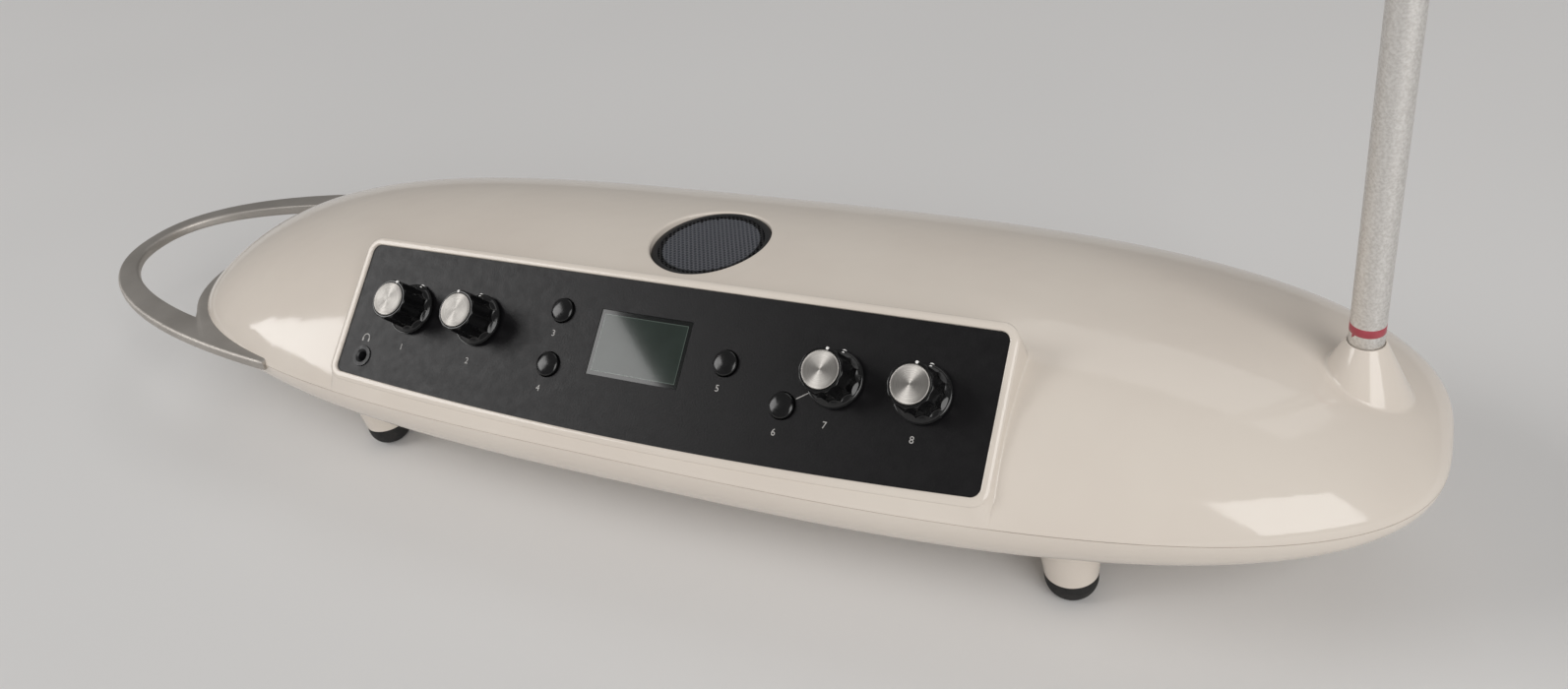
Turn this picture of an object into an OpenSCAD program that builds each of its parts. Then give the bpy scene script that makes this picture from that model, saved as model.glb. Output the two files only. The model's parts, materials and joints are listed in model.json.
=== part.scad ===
// A space-controlled instrument: a pebble-shaped case that a player stands behind.
// The flat loop on its left sets the loudness and the upright rod on its right the pitch.
// Every piece is drawn about the middle of the case at its seam, then placed on the table.

/* [Case] */
// Length of the case without the loop
case_length = 478; // [460:1:500]
// Depth of the case from front to back
case_depth = 150.6; // [148:0.2:156]
// Height of the upper shell above the seam
crown_height = 34.4; // [33.5:0.1:37]
// Depth of the lower shell below the seam
belly_depth = 37.4; // [35:0.1:42]
// Wall thickness of both shells
case_wall = 2.5; // [2:0.1:3]
// Gap between the belly and the table
ground_gap = 11; // [10:0.1:16]
// Radius of the legs where they meet their rubber tips
leg_radius = 8.5; // [7:0.1:10]
// Distance of each leg from the middle, along the case
leg_x = 140; // [130:1:145]
// Distance of each leg from the middle, across the case
leg_y = 41; // [36:1:44]
// Radius of the rubber tips at their top
tip_radius = 8.4; // [7:0.1:8.5]
// Height of the rubber tip of a leg
tip_height = 8.5; // [6:0.5:10]

/* [Control panel] */
// Width of the black panel
panel_width = 244.2; // [240:0.2:248]
// Height of the black panel at its sides
panel_height = 48.5; // [46:0.1:50]
// How far the panel's lower edge bows down in its middle
panel_bow = 4.1; // [2:0.1:4.5]
// Thickness of the panel
panel_thickness = 2; // [1.5:0.1:2.5]
// Tilt of the panel from the horizontal, in degrees
panel_tilt = 40.5; // [39:0.1:42]
// Height of the panel's middle above the seam
panel_lift = 23.8; // [23:0.1:25]
// Distance of the panel's middle behind the front of the case
panel_setback = 25.8; // [25:0.1:27]
// Width of the raised rim around the panel
rim_width = 3; // [2.5:0.1:3.5]
// Height of the rim above the panel's face
rim_step = 0.8; // [0.4:0.1:1.5]
// Depth of the control board behind the panel's face
board_drop = 12; // [11:0.1:13]

/* [Knobs and buttons] */
// Diameter of a knob's skirt
knob_skirt = 18.3; // [16:0.1:20]
// Diameter of a knob's aluminium cap
knob_cap = 12; // [10:0.1:13]
// Height of a knob's cap above the panel
knob_height = 14.3; // [12:0.1:17]
// Number of finger flutes around a knob
knob_flutes = 12; // [8:1:14]
// Diameter of a control shaft
shaft_diameter = 6; // [5:0.05:6.5]
// Radial play of a shaft in its bushing
shaft_play = 0.05; // [0.02:0.01:0.08]
// Diameter of a push button
button_diameter = 8.4; // [7:0.1:9]
// Travel of a push button
button_travel = 0.8; // [0.5:0.1:1]
// Gap around a moving button
button_gap = 0.3; // [0.25:0.05:0.5]

/* [Display] */
// Width of the display window
window_width = 35.1; // [32:0.1:37]
// Height of the display window
window_height = 22.3; // [20:0.1:24]
// Thickness of the display window
window_thickness = 1.2; // [1:0.1:1.4]

/* [Speaker] */
// Diameter of the speaker grille
grille_diameter = 43.3; // [40:0.1:45]
// Thickness of the grille's mesh
grille_thickness = 1; // [0.8:0.1:1.2]
// Distance of the grille's middle behind the case's middle
grille_back = 7.1; // [6:0.1:9]
// Diameter of one hole of the grille
grille_hole = 1.7; // [1.2:0.1:1.9]
// Distance between neighbouring holes of the grille
grille_pitch = 2.4; // [2.3:0.1:2.8]

/* [Pitch antenna] */
// Diameter of the rod
rod_diameter = 9.525; // [8:0.005:10]
// Length of the rod above its socket
rod_length = 365; // [250:1:450]
// Distance of the rod's axis from the right end of the case
rod_inset = 25.2; // [24:0.1:28]
// Height of the socket's top above the seam
socket_top = 29.2; // [28:0.1:33]
// Radius of the foot of the cone that carries the rod
cone_radius = 13.4; // [12:0.1:14]
// Height of the cone's foot above the seam
cone_foot = 12; // [10:0.1:13]
// Radius of the plug under the rod
plug_radius = 3.5; // [2.5:0.1:3.8]
// Length of the plug under the rod
plug_length = 24; // [18:0.5:26]
// Height of the coloured band on the rod
band_height = 2.6; // [2:0.1:4]
// Height of the bare stub below the band
stub_height = 3.7; // [2:0.1:5]

/* [Volume loop] */
// Distance of the loop's tip from the middle of the case
loop_reach = 307.7; // [300:0.1:315]
// Half the width of the loop's plate
loop_half_width = 68; // [66:0.1:69]
// Thickness of the loop's plate
loop_thickness = 4.4; // [3:0.1:5]
// Width of the loop's band at its tip
band_tip = 8; // [7:0.1:10]
// Width of the loop's band at its sides
band_side = 12.4; // [10:0.1:14]
// Gap between the hand opening and the case
loop_land = 3.8; // [3:0.1:5]

/* [Rear connectors] */
// Width of the rear connector bay
bay_width = 146; // [142:1:150]
// Height of the rear bay's upper edge above the seam
bay_top = 13; // [12:0.1:14]
// Depth of the rear bay's lower edge below the seam
bay_bottom = 15; // [14:0.1:17]
// Distance of the rear panel's face in front of the rear of the case
rear_inset = 11.3; // [11:0.1:12.5]
// Radius of the two line output bores
line_bore = 3.2; // [3.15:0.01:3.3]
// Radius of the headphone bore
phones_bore = 1.8; // [1.77:0.01:1.85]
// Radius of the power inlet's bore
power_bore = 2.8; // [2.7:0.05:3]
// Radius of the stand thread in the belly
stand_bore = 7.9; // [7:0.05:8.2]

/* [Hidden] */
$fn = 64;
half_length = case_length / 2;
half_depth = case_depth / 2;
seam_height = belly_depth + ground_gap;
frame_shift = (loop_reach - half_length) / 2;
panel_forward = half_depth - panel_setback; // in front of the case's middle
rear_face = half_depth - rear_inset;        // behind the case's middle
panel_end = panel_width / 2;
bay_end = bay_width / 2;
rod_x = half_length - rod_inset;
rings = 11;            // rings of facets from the crest to the seam
spokes = 80;           // facets around each ring
plan_power = 2.866;    // squareness of the case seen from above
ridge_power = 4.05;    // how long the crest stays level along the case
ridge_fall = 1.712;    // how steeply the crest ends
front_power = 1.85;    // fullness of the front of the crown
rear_power = 2.08;     // fullness of the rear of the crown
belly_power = 2.07;    // fullness of the belly
crest_back = 2.6;      // how far the crest lies behind the middle
fit = 0.1;             // slack between pieces that are dropped into place
skin = 0.8;            // how deep inner bosses sink into the shells
rim_draft = 2.6;       // how far the panel's housing widens down to the seam
housing_back = 8;      // distance of the housing's foot in front of the middle
ledge = 3;             // width of the ledge under the panel
ledge_thickness = 2.4; // thickness of that ledge
panel_corner = 3;      // corner radius of the panel
knob_x = [26.9 - panel_end, 57.2 - panel_end, panel_end - 50.1, panel_end - 22.1];
knob_v = 2.3;          // height of the knobs on the panel
knob_base = 0.6;       // gap under a knob's skirt
cap_thickness = 0.5;
button_x = [-31.8, -31.8, 33.8, panel_end - 65.9];
button_v = [10.4, -8.5, 1.7, -8.3];
button_rise = 1.9;
flange_thickness = 1;
switch_height = 3.5;
phones_x = 10 - panel_end;
phones_v = -17.5;
window_x = 1.2;
window_v = 1.9;
window_lip = 1.2;      // width of the edge that the window rests on
window_sink = 0.2;
board_thickness = 1.6;
pot_width = 9.6;
bushing_radius = shaft_diameter / 2 + 0.9;
grille_top = crown_height - 2.3;
speaker_radius = 26;
speaker_seat = grille_top - grille_thickness - 7.5;
speaker_hole = grille_diameter / 2 - 1.4;
rod_play = 0.06;
socket_wall = 1.2;
socket_depth = plug_length + 4;
loop_centre = -114.9;
loop_power = 2.246;    // squareness of the loop seen from above
loop_end = -165;       // where the loop's plate ends inside the case
hand_centre = -283;    // a point inside the hand opening
loop_spokes = 88;
loop_edge = 1.3;       // bevel along the loop's edges
slot_gap = 0.3;
rear_thickness = 2;
bay_rim = 2.4;
bay_lip = 4.2;         // how far the bay's rim stands behind the rear panel
io_level = -12;        // top of the rear board
jack_level = -1;
line_x = [bay_end - 43, bay_end - 19];
cv_x = 6;
usb_x = -16;
usb_plate_width = 20;
inlet_x = 37 - bay_end;
switch_x = 15 - bay_end;
rocker_width = 12;
rocker_height = 17;
rocker_tilt = 8;       // lean of the rocker at either end of its throw
stand_radius = 11.5;
stand_length = 15;
screw_radius = 1.5;
head_radius = 2.9;
post_radius = 4.6;
head_seat = 9;         // depth of the screw heads below the seam
head_height = 2;
case_screw_length = 16;
loop_screw_length = 18;
control_depth = 36;    // depth of the control board along the panel
control_drop = 17;     // how far that board reaches below the panel's middle
board_margin = 5;      // how much shorter that board is than the panel, at either end
io_depth = 51;         // depth of the rear board
io_reach = bay_end + 11;
basket_depth = 13;
basket_plate = 1.5;
case_screw_places = [[150, 22], [150, -22], [-150, 22], [-150, -22], [95, 48], [-95, 48]];
loop_screw_places = [[-185, 0], [-180, 38], [-180, -38]];
io_x = bay_end + 3;
io_y = [rear_face - 46, rear_face - 10];
io_post_places = [[io_x, io_y[0]], [-io_x, io_y[0]], [io_x, io_y[1]], [-io_x, io_y[1]]];
pitch_post_places = [[175, -12], [175, 12]];
volume_post_places = [[-118, -10], [-118, 12]];
speaker_screw_turns = [45, 135, 225, 315];
knob_names = ["volume", "correction", "amount", "preset"];
button_names = ["scale", "root", "setup", "effect"];

// Places everything on the table, with the middle of the whole outline at zero.
module on_table() {
    translate([frame_shift, 0, seam_height]) children();
}

// Puts a flat drawing on the face of the control panel.
module on_panel() {
    translate([0, -panel_forward, panel_lift]) rotate([panel_tilt, 0, 0]) children();
}

// Half the depth of the seam's outline at x, for a surface inset by t.
function seam_half(x, t) =
    (half_depth - t) * pow(max(0, 1 - pow(min(abs(x) / (half_length - t), 1), plan_power)), 1 / plan_power);

// Height of the crown above the seam: near-elliptic sections under a long level crest.
function crown_z(x, y, t) =
    let (
        s = min(abs(x) / (half_length - t), 1),
        crest = crest_back * (1 - s * s),
        h = (crown_height - t) * pow(max(0, 1 - pow(s, ridge_power)), 1 / ridge_fall),
        reach = max(0.001, seam_half(x, t) + (y < crest ? crest : -crest)),
        bow = y < crest ? front_power : rear_power
    )
    h * pow(max(0, 1 - pow(min(abs(y - crest) / reach, 1), bow)), 1 / bow);

// Depth of the belly below the seam.
function belly_z(x, y, t) =
    let (
        g = pow(
            pow(abs(x) / (half_length - t), plan_power) + pow(abs(y) / (half_depth - t), plan_power),
            1 / plan_power
        )
    )
    (belly_depth - t) * pow(max(0, 1 - pow(min(g, 1), belly_power)), 1 / belly_power);

function power_of(c, p) = sign(c) * pow(abs(c), p);

// A closed half pebble over the seam: rings of points shrink from the seam to the crest.
module half_pebble(height_at, t) {
    rim = [for (i = [0:spokes - 1])
        let (a = 360 * i / spokes)
        [(half_length - t) * power_of(cos(a), 2 / plan_power),
         (half_depth - t) * power_of(sin(a), 2 / plan_power)]];
    shells = [for (j = [1:rings]) for (p = rim)
        let (q = p * sin(90 * j / rings))
        [q[0], q[1], j == rings ? 0 : height_at(q[0], q[1], t)]];
    top = rings * spokes;
    points = concat(shells, [[0, 0, height_at(0, 0, t)]]);
    sides = [for (j = [0:rings - 2]) for (i = [0:spokes - 1])
        let (k = (i + 1) % spokes, a = j * spokes, b = a + spokes)
        each [[a + i, a + k, b + k], [a + i, b + k, b + i]]];
    crest = [for (i = [0:spokes - 1]) [top, (i + 1) % spokes, i]];
    floor_face = [[for (i = [0:spokes - 1]) (rings - 1) * spokes + i]];
    polyhedron(points, concat(sides, crest, floor_face));
}

module crown(t) {
    half_pebble(function(x, y, t) crown_z(x, y, t), t);
}

module belly(t) {
    mirror([0, 0, 1]) half_pebble(function(x, y, t) belly_z(x, y, t), t);
}

// The crown without its front, which the panel's housing replaces.
module open_crown() {
    w = panel_end + rim_width - 1.2;
    difference() {
        crown(0);
        translate([-w, -case_depth, -1])
            cube([2 * w, case_depth - panel_forward + 14.5, 2 * crown_height]);
    }
}

// Outline of the panel grown by g: straight top and sides, a bowed lower edge.
function panel_outline(g) =
    let (
        w = panel_width / 2 + g,
        h = panel_height / 2 + g,
        r = max(0.5, panel_corner + g),
        arc = function(cx, cy, a0) [for (a = [0:15:90]) [cx + r * cos(a0 + a), cy + r * sin(a0 + a)]]
    )
    concat(
        arc(w - r, h - r, 0),
        arc(r - w, h - r, 90),
        arc(r - w, r - h, 180),
        [for (i = [-5:5]) let (x = i * (w - r) / 6) [x, -h - panel_bow * (1 - pow(x / w, 2))]],
        arc(w - r, r - h, 270)
    );

module panel_slab(g, low, high) {
    translate([0, 0, low]) linear_extrude(high - low) polygon(panel_outline(g));
}

// Foot of the panel's housing on the seam, inset by t: its front follows the case.
module housing_foot(t, low, high) {
    w = panel_width / 2 + rim_width + rim_draft - t;
    front = [for (i = [-8:8]) [i * w / 8, -seam_half(i * w / 8, t)]];
    translate([0, 0, low]) linear_extrude(high - low)
        polygon(concat([[-w, -housing_back - 1.2 * t]], front, [[w, -housing_back - 1.2 * t]]));
}

// The raised housing of the panel, drafted like a moulding.
module panel_housing() {
    hull() {
        on_panel() panel_slab(rim_width, rim_step - 0.6, rim_step);
        housing_foot(0, 0, 0.4);
    }
}

// The hollow inside the housing, which leans back behind the panel.
module housing_cavity() {
    hull() {
        on_panel() intersection() {
            panel_slab(
                rim_width - case_wall + 0.4,
                -panel_thickness - ledge_thickness - 0.5,
                -panel_thickness - ledge_thickness
            );
            translate([-panel_width, -panel_height * 1.5 - 1, -20])
                cube([panel_width * 2, panel_height * 2, 40]);
        }
        housing_foot(case_wall, -1, 0.4);
    }
}

// A ring that closes the gap between the housing and the back of the panel.
module panel_ledge() {
    on_panel() difference() {
        panel_slab(rim_width - 0.4, -panel_thickness - ledge_thickness, -panel_thickness);
        panel_slab(-ledge, -panel_thickness - ledge_thickness - 1, 1);
    }
}

// Gauge functions that are below zero inside their outline.
function loop_gauge(x, y, tip, side) =
    pow(abs(x - loop_centre) / (loop_reach + loop_centre - tip), loop_power)
    + pow(abs(y) / (loop_half_width - side), loop_power) - 1;
function case_gauge(x, y, land) =
    1 - pow(
        pow(abs(x) / (half_length + land), plan_power) + pow(abs(y) / (half_depth + land), plan_power),
        1 / plan_power
    );
function hand_gauge(x, y) =
    let (
        a = loop_gauge(x, y, band_tip, band_side),
        b = 4.5 * case_gauge(x, y, loop_land),
        soft = 0.02
    )
    (a + b + sqrt(pow(a - b, 2) + soft * soft)) / 2;

// Distance from the hand opening's middle to an outline, found by halving.
function reach_of(gauge, c, s, low, high, steps) =
    let (m = (low + high) / 2)
    steps == 0 ? m
    : gauge(hand_centre + m * c, m * s) < 0 ? reach_of(gauge, c, s, m, high, steps - 1)
    : reach_of(gauge, c, s, low, m, steps - 1);

function loop_outside(grow) = [for (i = [0:loop_spokes - 1])
    let (
        a = 360 * i / loop_spokes,
        free = reach_of(function(x, y) loop_gauge(x, y, -grow, -grow), cos(a), sin(a), 0, 400, 26),
        end = cos(a) > 0 ? (loop_end + grow - hand_centre) / cos(a) : 1000
    )
    [hand_centre + min(free, end) * cos(a), min(free, end) * sin(a)]];
function loop_inside(grow) = [for (i = [0:loop_spokes - 1])
    let (
        a = 360 * i / loop_spokes,
        r = reach_of(function(x, y) hand_gauge(x, y), cos(a), sin(a), 0, 120, 26) + grow
    )
    [hand_centre + r * cos(a), r * sin(a)]];

// The loop's plate: one closed band whose section has bevelled edges.
module loop_plate() {
    t = loop_thickness / 2;
    n = loop_spokes;
    inner = loop_inside(0);
    inner_top = loop_inside(loop_edge);
    outer = loop_outside(0);
    outer_top = loop_outside(-loop_edge);
    lift = function(list, z) [for (p = list) [p[0], p[1], z]];
    z_edge = t - loop_edge;
    points = concat(
        lift(outer, -z_edge), lift(outer, z_edge), lift(outer_top, t), lift(inner_top, t),
        lift(inner, z_edge), lift(inner, -z_edge), lift(inner_top, -t), lift(outer_top, -t)
    );
    faces = [for (j = [0:7]) for (i = [0:n - 1])
        let (k = (i + 1) % n, a = j * n, b = ((j + 1) % 8) * n)
        each [[a + i, b + i, b + k], [a + i, b + k, a + k]]];
    polyhedron(points, faces);
}

// Room for the loop's plate between the shells.
module loop_slot() {
    translate([0, 0, -loop_thickness / 2 - slot_gap])
        linear_extrude(loop_thickness + 2 * slot_gap) polygon(loop_outside(slot_gap));
}

// The rear bay: a block with a rim, open to the back and pocketed for the rear panel.
module bay_block(upper) {
    low = upper ? 0 : -bay_bottom - bay_rim;
    high = upper ? bay_top + bay_rim : 0;
    translate([-bay_width / 2 - bay_rim, rear_face - rear_thickness - fit, low])
        cube([bay_width + 2 * bay_rim, bay_lip + rear_thickness + fit, high - low]);
}

module bay_cut() {
    translate([-bay_width / 2, rear_face - 1, -bay_bottom])
        cube([bay_width, 40, bay_bottom + bay_top]);
    pocket = bay_rim - 1;
    translate([-bay_width / 2 - pocket, rear_face - 30, -bay_bottom - pocket])
        cube([bay_width + 2 * pocket, 30, bay_bottom + bay_top + 2 * pocket]);
}

module at_places(places) {
    for (p = places) translate([p[0], p[1], 0]) children();
}

// The cone that carries the rod's socket, with a rolled upper edge.
module socket_cone() {
    top = plug_radius + socket_wall + 0.65;
    translate([rod_x, 0, 0]) rotate_extrude() polygon([
        [0, cone_foot], [0, socket_top], [top - 0.3, socket_top], [top, socket_top - 0.15],
        [top + 0.15, socket_top - 0.45], [cone_radius, cone_foot]
    ]);
}

module top_shell() {
    color("antiquewhite") on_table() difference() {
        union() {
            difference() {
                union() {
                    open_crown();
                    panel_housing();
                    bay_block(true);
                }
                difference() {
                    crown(case_wall);
                    bay_block(true);
                }
                housing_cavity();
                loop_slot();
            }
            panel_ledge();
            intersection() {
                crown(skin);
                union() {
                    translate([0, grille_back, speaker_seat]) cylinder(r = speaker_radius + 1, h = 30);
                    at_places(case_screw_places) cylinder(r = post_radius, h = 60);
                    at_places(loop_screw_places)
                        translate([0, 0, loop_thickness / 2]) cylinder(r = post_radius, h = 60);
                }
            }
            socket_cone();
        }
        on_panel() panel_slab(fit, -panel_thickness, 20);
        on_panel() panel_slab(-ledge, -panel_thickness - ledge_thickness - 2, 0);
        translate([0, grille_back, grille_top - grille_thickness])
            cylinder(r = grille_diameter / 2 + fit, h = 30);
        translate([0, grille_back, 0]) cylinder(r = speaker_hole, h = 60);
        translate([rod_x, 0, -1]) cylinder(r = plug_radius + socket_wall + 0.05, h = 60);
        at_places(case_screw_places) translate([0, 0, -1]) cylinder(r = screw_radius, h = 10);
        at_places(loop_screw_places) cylinder(r = screw_radius, h = 10);
        for (a = speaker_screw_turns)
            translate([0, grille_back, speaker_seat - 1]) rotate([0, 0, a])
                translate([speaker_radius - 2, 0, 0]) cylinder(r = 1, h = 6);
        bay_cut();
    }
}

module bottom_shell() {
    color("antiquewhite") on_table() difference() {
        union() {
            difference() {
                union() {
                    belly(0);
                    bay_block(false);
                    for (x = [-leg_x, leg_x]) for (y = [-leg_y, leg_y])
                        translate([x, y, tip_height - seam_height])
                            cylinder(r1 = leg_radius, r2 = leg_radius + 3, h = belly_depth - 12);
                }
                difference() {
                    belly(case_wall);
                    bay_block(false);
                }
                loop_slot();
            }
            intersection() {
                belly(skin);
                union() {
                    at_places(case_screw_places) translate([0, 0, -60]) cylinder(r = post_radius, h = 60);
                    at_places(loop_screw_places)
                        translate([0, 0, -60]) cylinder(r = post_radius, h = 60 - loop_thickness / 2);
                    at_places(concat(io_post_places, pitch_post_places, volume_post_places))
                        translate([0, 0, -60])
                            cylinder(r = post_radius - 1, h = 60 + io_level - board_thickness);
                    translate([0, 0, -60])
                        cylinder(r = stand_radius + 3, h = 60 - belly_depth + stand_length);
                }
            }
        }
        at_places(concat(case_screw_places, loop_screw_places)) {
            translate([0, 0, -60]) cylinder(r = screw_radius + 0.2, h = 70);
            translate([0, 0, -60]) cylinder(r = head_radius + 0.3, h = 60 - head_seat);
        }
        at_places(concat(io_post_places, pitch_post_places, volume_post_places))
            translate([0, 0, io_level - board_thickness - 6]) cylinder(r = 1.1, h = 10);
        translate([0, 0, -60]) cylinder(r = stand_radius + 0.05, h = 60 - belly_depth + stand_length);
        bay_cut();
    }
}

// The rubber feet: bowls under the legs, each with a small flat that stands on the table.
module leg_tips() {
    color("#1c1b1a") on_table()
        for (x = [-leg_x, leg_x]) for (y = [-leg_y, leg_y])
            translate([x, y, -seam_height]) rotate_extrude() polygon(concat(
                [[0, tip_height], [0, 0]],
                [for (a = [0:7.5:90]) let (flat = 0.35 * tip_radius)
                    [flat + (tip_radius - flat) * sin(a), tip_height * 0.8 * (1 - cos(a))]],
                [[tip_radius, tip_height]]
            ));
}

module screw(length) {
    cylinder(r = screw_radius - 0.1, h = length);
    translate([0, 0, -head_height]) difference() {
        cylinder(r = head_radius, h = head_height);
        translate([0, 0, -1]) cylinder(r = 1.1, h = 1.9, $fn = 6);
    }
}

module case_screws() {
    color("#4a4a4c") on_table() {
        at_places(case_screw_places) translate([0, 0, -head_seat]) screw(case_screw_length);
    }
}

module loop_screws() {
    color("#4a4a4c") on_table() {
        at_places(loop_screw_places) translate([0, 0, -head_seat]) screw(loop_screw_length);
    }
}

module stand_insert() {
    color("#b9a24c") on_table() translate([0, 0, -belly_depth]) difference() {
        translate([0, 0, 0.3]) cylinder(r = stand_radius, h = stand_length - 0.3);
        translate([0, 0, -1]) cylinder(r = stand_bore, h = stand_length - 1);
    }
}

module control_panel() {
    color("#26262a") on_table() on_panel() difference() {
        panel_slab(0, -panel_thickness, 0);
        for (x = knob_x)
            translate([x, knob_v, -5]) cylinder(r = bushing_radius + fit, h = 10);
        for (i = [0:3])
            translate([button_x[i], button_v[i], -5]) cylinder(r = button_diameter / 2 + button_gap, h = 10);
        translate([phones_x, phones_v, -5]) cylinder(r = phones_bore + 2.1, h = 10);
        translate([window_x, window_v, -window_sink - window_thickness + 5])
            cube([window_width + 2 * fit, window_height + 2 * fit, 10], center = true);
        translate([window_x, window_v, 0])
            cube([window_width - 2 * window_lip, window_height - 2 * window_lip, 10], center = true);
    }
}

module display_window() {
    color("#0d1512") on_table() on_panel()
        translate([
            window_x - window_width / 2, window_v - window_height / 2, -window_sink - window_thickness
        ])
            cube([window_width, window_height, window_thickness]);
}

module display_module() {
    color("#20402c") on_table() on_panel() {
        translate([window_x, window_v, (-panel_thickness - board_drop) / 2])
            cube([window_width + 4, window_height + 4, board_drop - panel_thickness], center = true);
    }
}

module control_board() {
    color("#1f5a38") on_table() on_panel()
        translate([board_margin - panel_end, -control_drop, -board_drop - board_thickness])
            cube([2 * (panel_end - board_margin), control_depth, board_thickness]);
}

// Body and bushing of a turned control, bored for its shaft.
module turned_control() {
    difference() {
        union() {
            translate([0, -1, (-panel_thickness - board_drop) / 2])
                cube([pot_width, pot_width + 2, board_drop - panel_thickness], center = true);
            translate([0, 0, -panel_thickness - 1])
                cylinder(r = bushing_radius, h = panel_thickness + 1 + knob_base + 0.4);
        }
        translate([0, 0, -9]) cylinder(r = shaft_diameter / 2 + shaft_play, h = 20);
    }
}

module control_pots() {
    color("#3c4a5e") on_table() on_panel()
        for (i = [0:2]) translate([knob_x[i], knob_v, 0]) turned_control();
}

module preset_encoder() {
    color("#55585c") on_table() on_panel()
        translate([knob_x[3], knob_v, 0]) turned_control();
}

module button_switches() {
    color("#2b2b2b") on_table() on_panel()
        for (i = [0:3])
            translate([button_x[i], button_v[i], -board_drop + switch_height / 2])
                cube([6, 6, switch_height], center = true);
}

module headphone_jack() {
    color("#2a2a2c") on_table() on_panel() translate([phones_x, phones_v, 0]) difference() {
        union() {
            translate([0.5, 3.5, (-panel_thickness - board_drop) / 2])
                cube([9, 14, board_drop - panel_thickness], center = true);
            translate([0, 0, -panel_thickness - 0.5])
                cylinder(r = phones_bore + 2, h = panel_thickness + 0.9);
        }
        translate([0, 0, -board_drop + 1]) cylinder(r = phones_bore, h = 20);
        translate([0, 0, -0.3]) cylinder(r1 = phones_bore, r2 = phones_bore + 0.8, h = 0.8);
    }
}

// Punched mesh: rows of holes in a triangular pattern inside a plain edge.
module speaker_grille() {
    edge = grille_diameter / 2 - grille_hole;
    rows = floor(edge / (grille_pitch * sin(60)));
    spots = [for (r = [-rows:rows]) for (c = [-rows - 2:rows + 2])
        let (p = [(c + (abs(r) % 2) / 2) * grille_pitch, r * grille_pitch * sin(60)])
        if (norm(p) < edge) p];
    color("#39393b") on_table() translate([0, grille_back, grille_top - grille_thickness])
        linear_extrude(grille_thickness) difference() {
            circle(r = grille_diameter / 2);
            for (p = spots) translate(p) circle(d = grille_hole, $fn = 16);
        }
}

module speaker_basket() {
    color("#3a3a3c") on_table() translate([0, grille_back, speaker_seat]) difference() {
        rotate_extrude() polygon([
            [speaker_hole, 0], [speaker_radius, 0], [speaker_radius, -basket_plate],
            [speaker_radius - 4, -basket_plate], [speaker_radius / 2, -basket_depth],
            [speaker_radius / 2 - 2, -basket_depth], [speaker_radius / 2 - 2, basket_plate - basket_depth],
            [speaker_radius / 2 - 1, basket_plate - basket_depth], [speaker_hole, -basket_plate]
        ]);
        for (a = speaker_screw_turns) rotate([0, 0, a]) {
            translate([speaker_radius - 2, 0, -3]) cylinder(r = 1.1, h = 6);
            rotate([0, 0, 45]) translate([16, 0, -8]) rotate([0, 45, 0])
                cylinder(r = 3, h = 12, center = true);
        }
    }
}

module speaker_cone() {
    color("#15130f") on_table() translate([0, grille_back, speaker_seat]) rotate_extrude() polygon([
        [0, -7.6], [6, -8.6], [18, -0.9], [speaker_hole - 0.3, -0.5], [speaker_hole - 0.3, -1.1],
        [18, -1.6], [7, -9.3], [6.8, -11.2], [6, -11.2], [6, -9.4], [0, -8.4]
    ]);
}

module speaker_magnet() {
    color("#6d6f72") on_table() translate([0, grille_back, speaker_seat - basket_depth])
        rotate_extrude() polygon([
            [0, 0], [12, 0], [12, -2], [15, -2], [15, -8], [12.5, -8], [12.5, -9.5], [0, -9.5]
        ]);
}

module speaker_screws() {
    color("#4a4a4c") on_table() translate([0, grille_back, speaker_seat - basket_plate])
        for (a = speaker_screw_turns) rotate([0, 0, a]) translate([speaker_radius - 2, 0, 0]) {
            cylinder(r = 0.95, h = 5);
            translate([0, 0, -1]) cylinder(r = 1.8, h = 1);
        }
}

module antenna_socket() {
    color("#c7a85a") on_table() translate([rod_x, 0, 0]) difference() {
        union() {
            translate([0, 0, socket_top - socket_depth])
                cylinder(r = plug_radius + socket_wall, h = socket_depth - 0.2);
            translate([0, 0, cone_foot - 3]) cylinder(r = plug_radius + socket_wall + 2.5, h = 3);
        }
        translate([0, 0, socket_top - socket_depth + 2]) cylinder(r = plug_radius + rod_play, h = 60);
    }
}

module antenna_rod() {
    r = rod_diameter / 2;
    low = socket_top + 0.15;
    color("#c9c7c3") on_table() translate([rod_x, 0, 0]) rotate_extrude() polygon([
        [0, low], [r, low], [r, low + stub_height], [r - 0.3, low + stub_height],
        [r - 0.3, low + stub_height + band_height], [r, low + stub_height + band_height],
        [r, low + rod_length - 0.8], [r - 0.8, low + rod_length], [0, low + rod_length]
    ]);
}

module antenna_band() {
    r = rod_diameter / 2;
    color("#a31f34") on_table() translate([rod_x, 0, socket_top + 0.15 + stub_height]) difference() {
        cylinder(r = r + 0.05, h = band_height);
        translate([0, 0, -1]) cylinder(r = r - 0.3, h = band_height + 2);
    }
}

module antenna_plug() {
    low = socket_top + 0.15;
    color("#c7a85a") on_table() translate([rod_x, 0, low - plug_length]) {
        cylinder(r1 = plug_radius - 0.8, r2 = plug_radius, h = 1);
        translate([0, 0, 1]) cylinder(r = plug_radius, h = plug_length - 1);
    }
}

module pitch_board() {
    color("#1f5a38") on_table() translate([160, -18, io_level - board_thickness])
        difference() {
            cube([34, 36, board_thickness]);
            at_places(pitch_post_places) translate([-160, 18, -1]) cylinder(r = 1.3, h = 4);
        }
}

module coil_can() {
    difference() {
        cylinder(r = 7, h = 16);
        translate([0, 0, 3]) cylinder(r = 2, h = 20);
    }
}

module pitch_coil() {
    color("#b06a35") on_table() translate([185, 0, io_level]) coil_can();
}

module volume_loop() {
    color("#b5b3b0") on_table() difference() {
        loop_plate();
        at_places(loop_screw_places) translate([0, 0, -10]) cylinder(r = screw_radius + 0.2, h = 20);
    }
}

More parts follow.
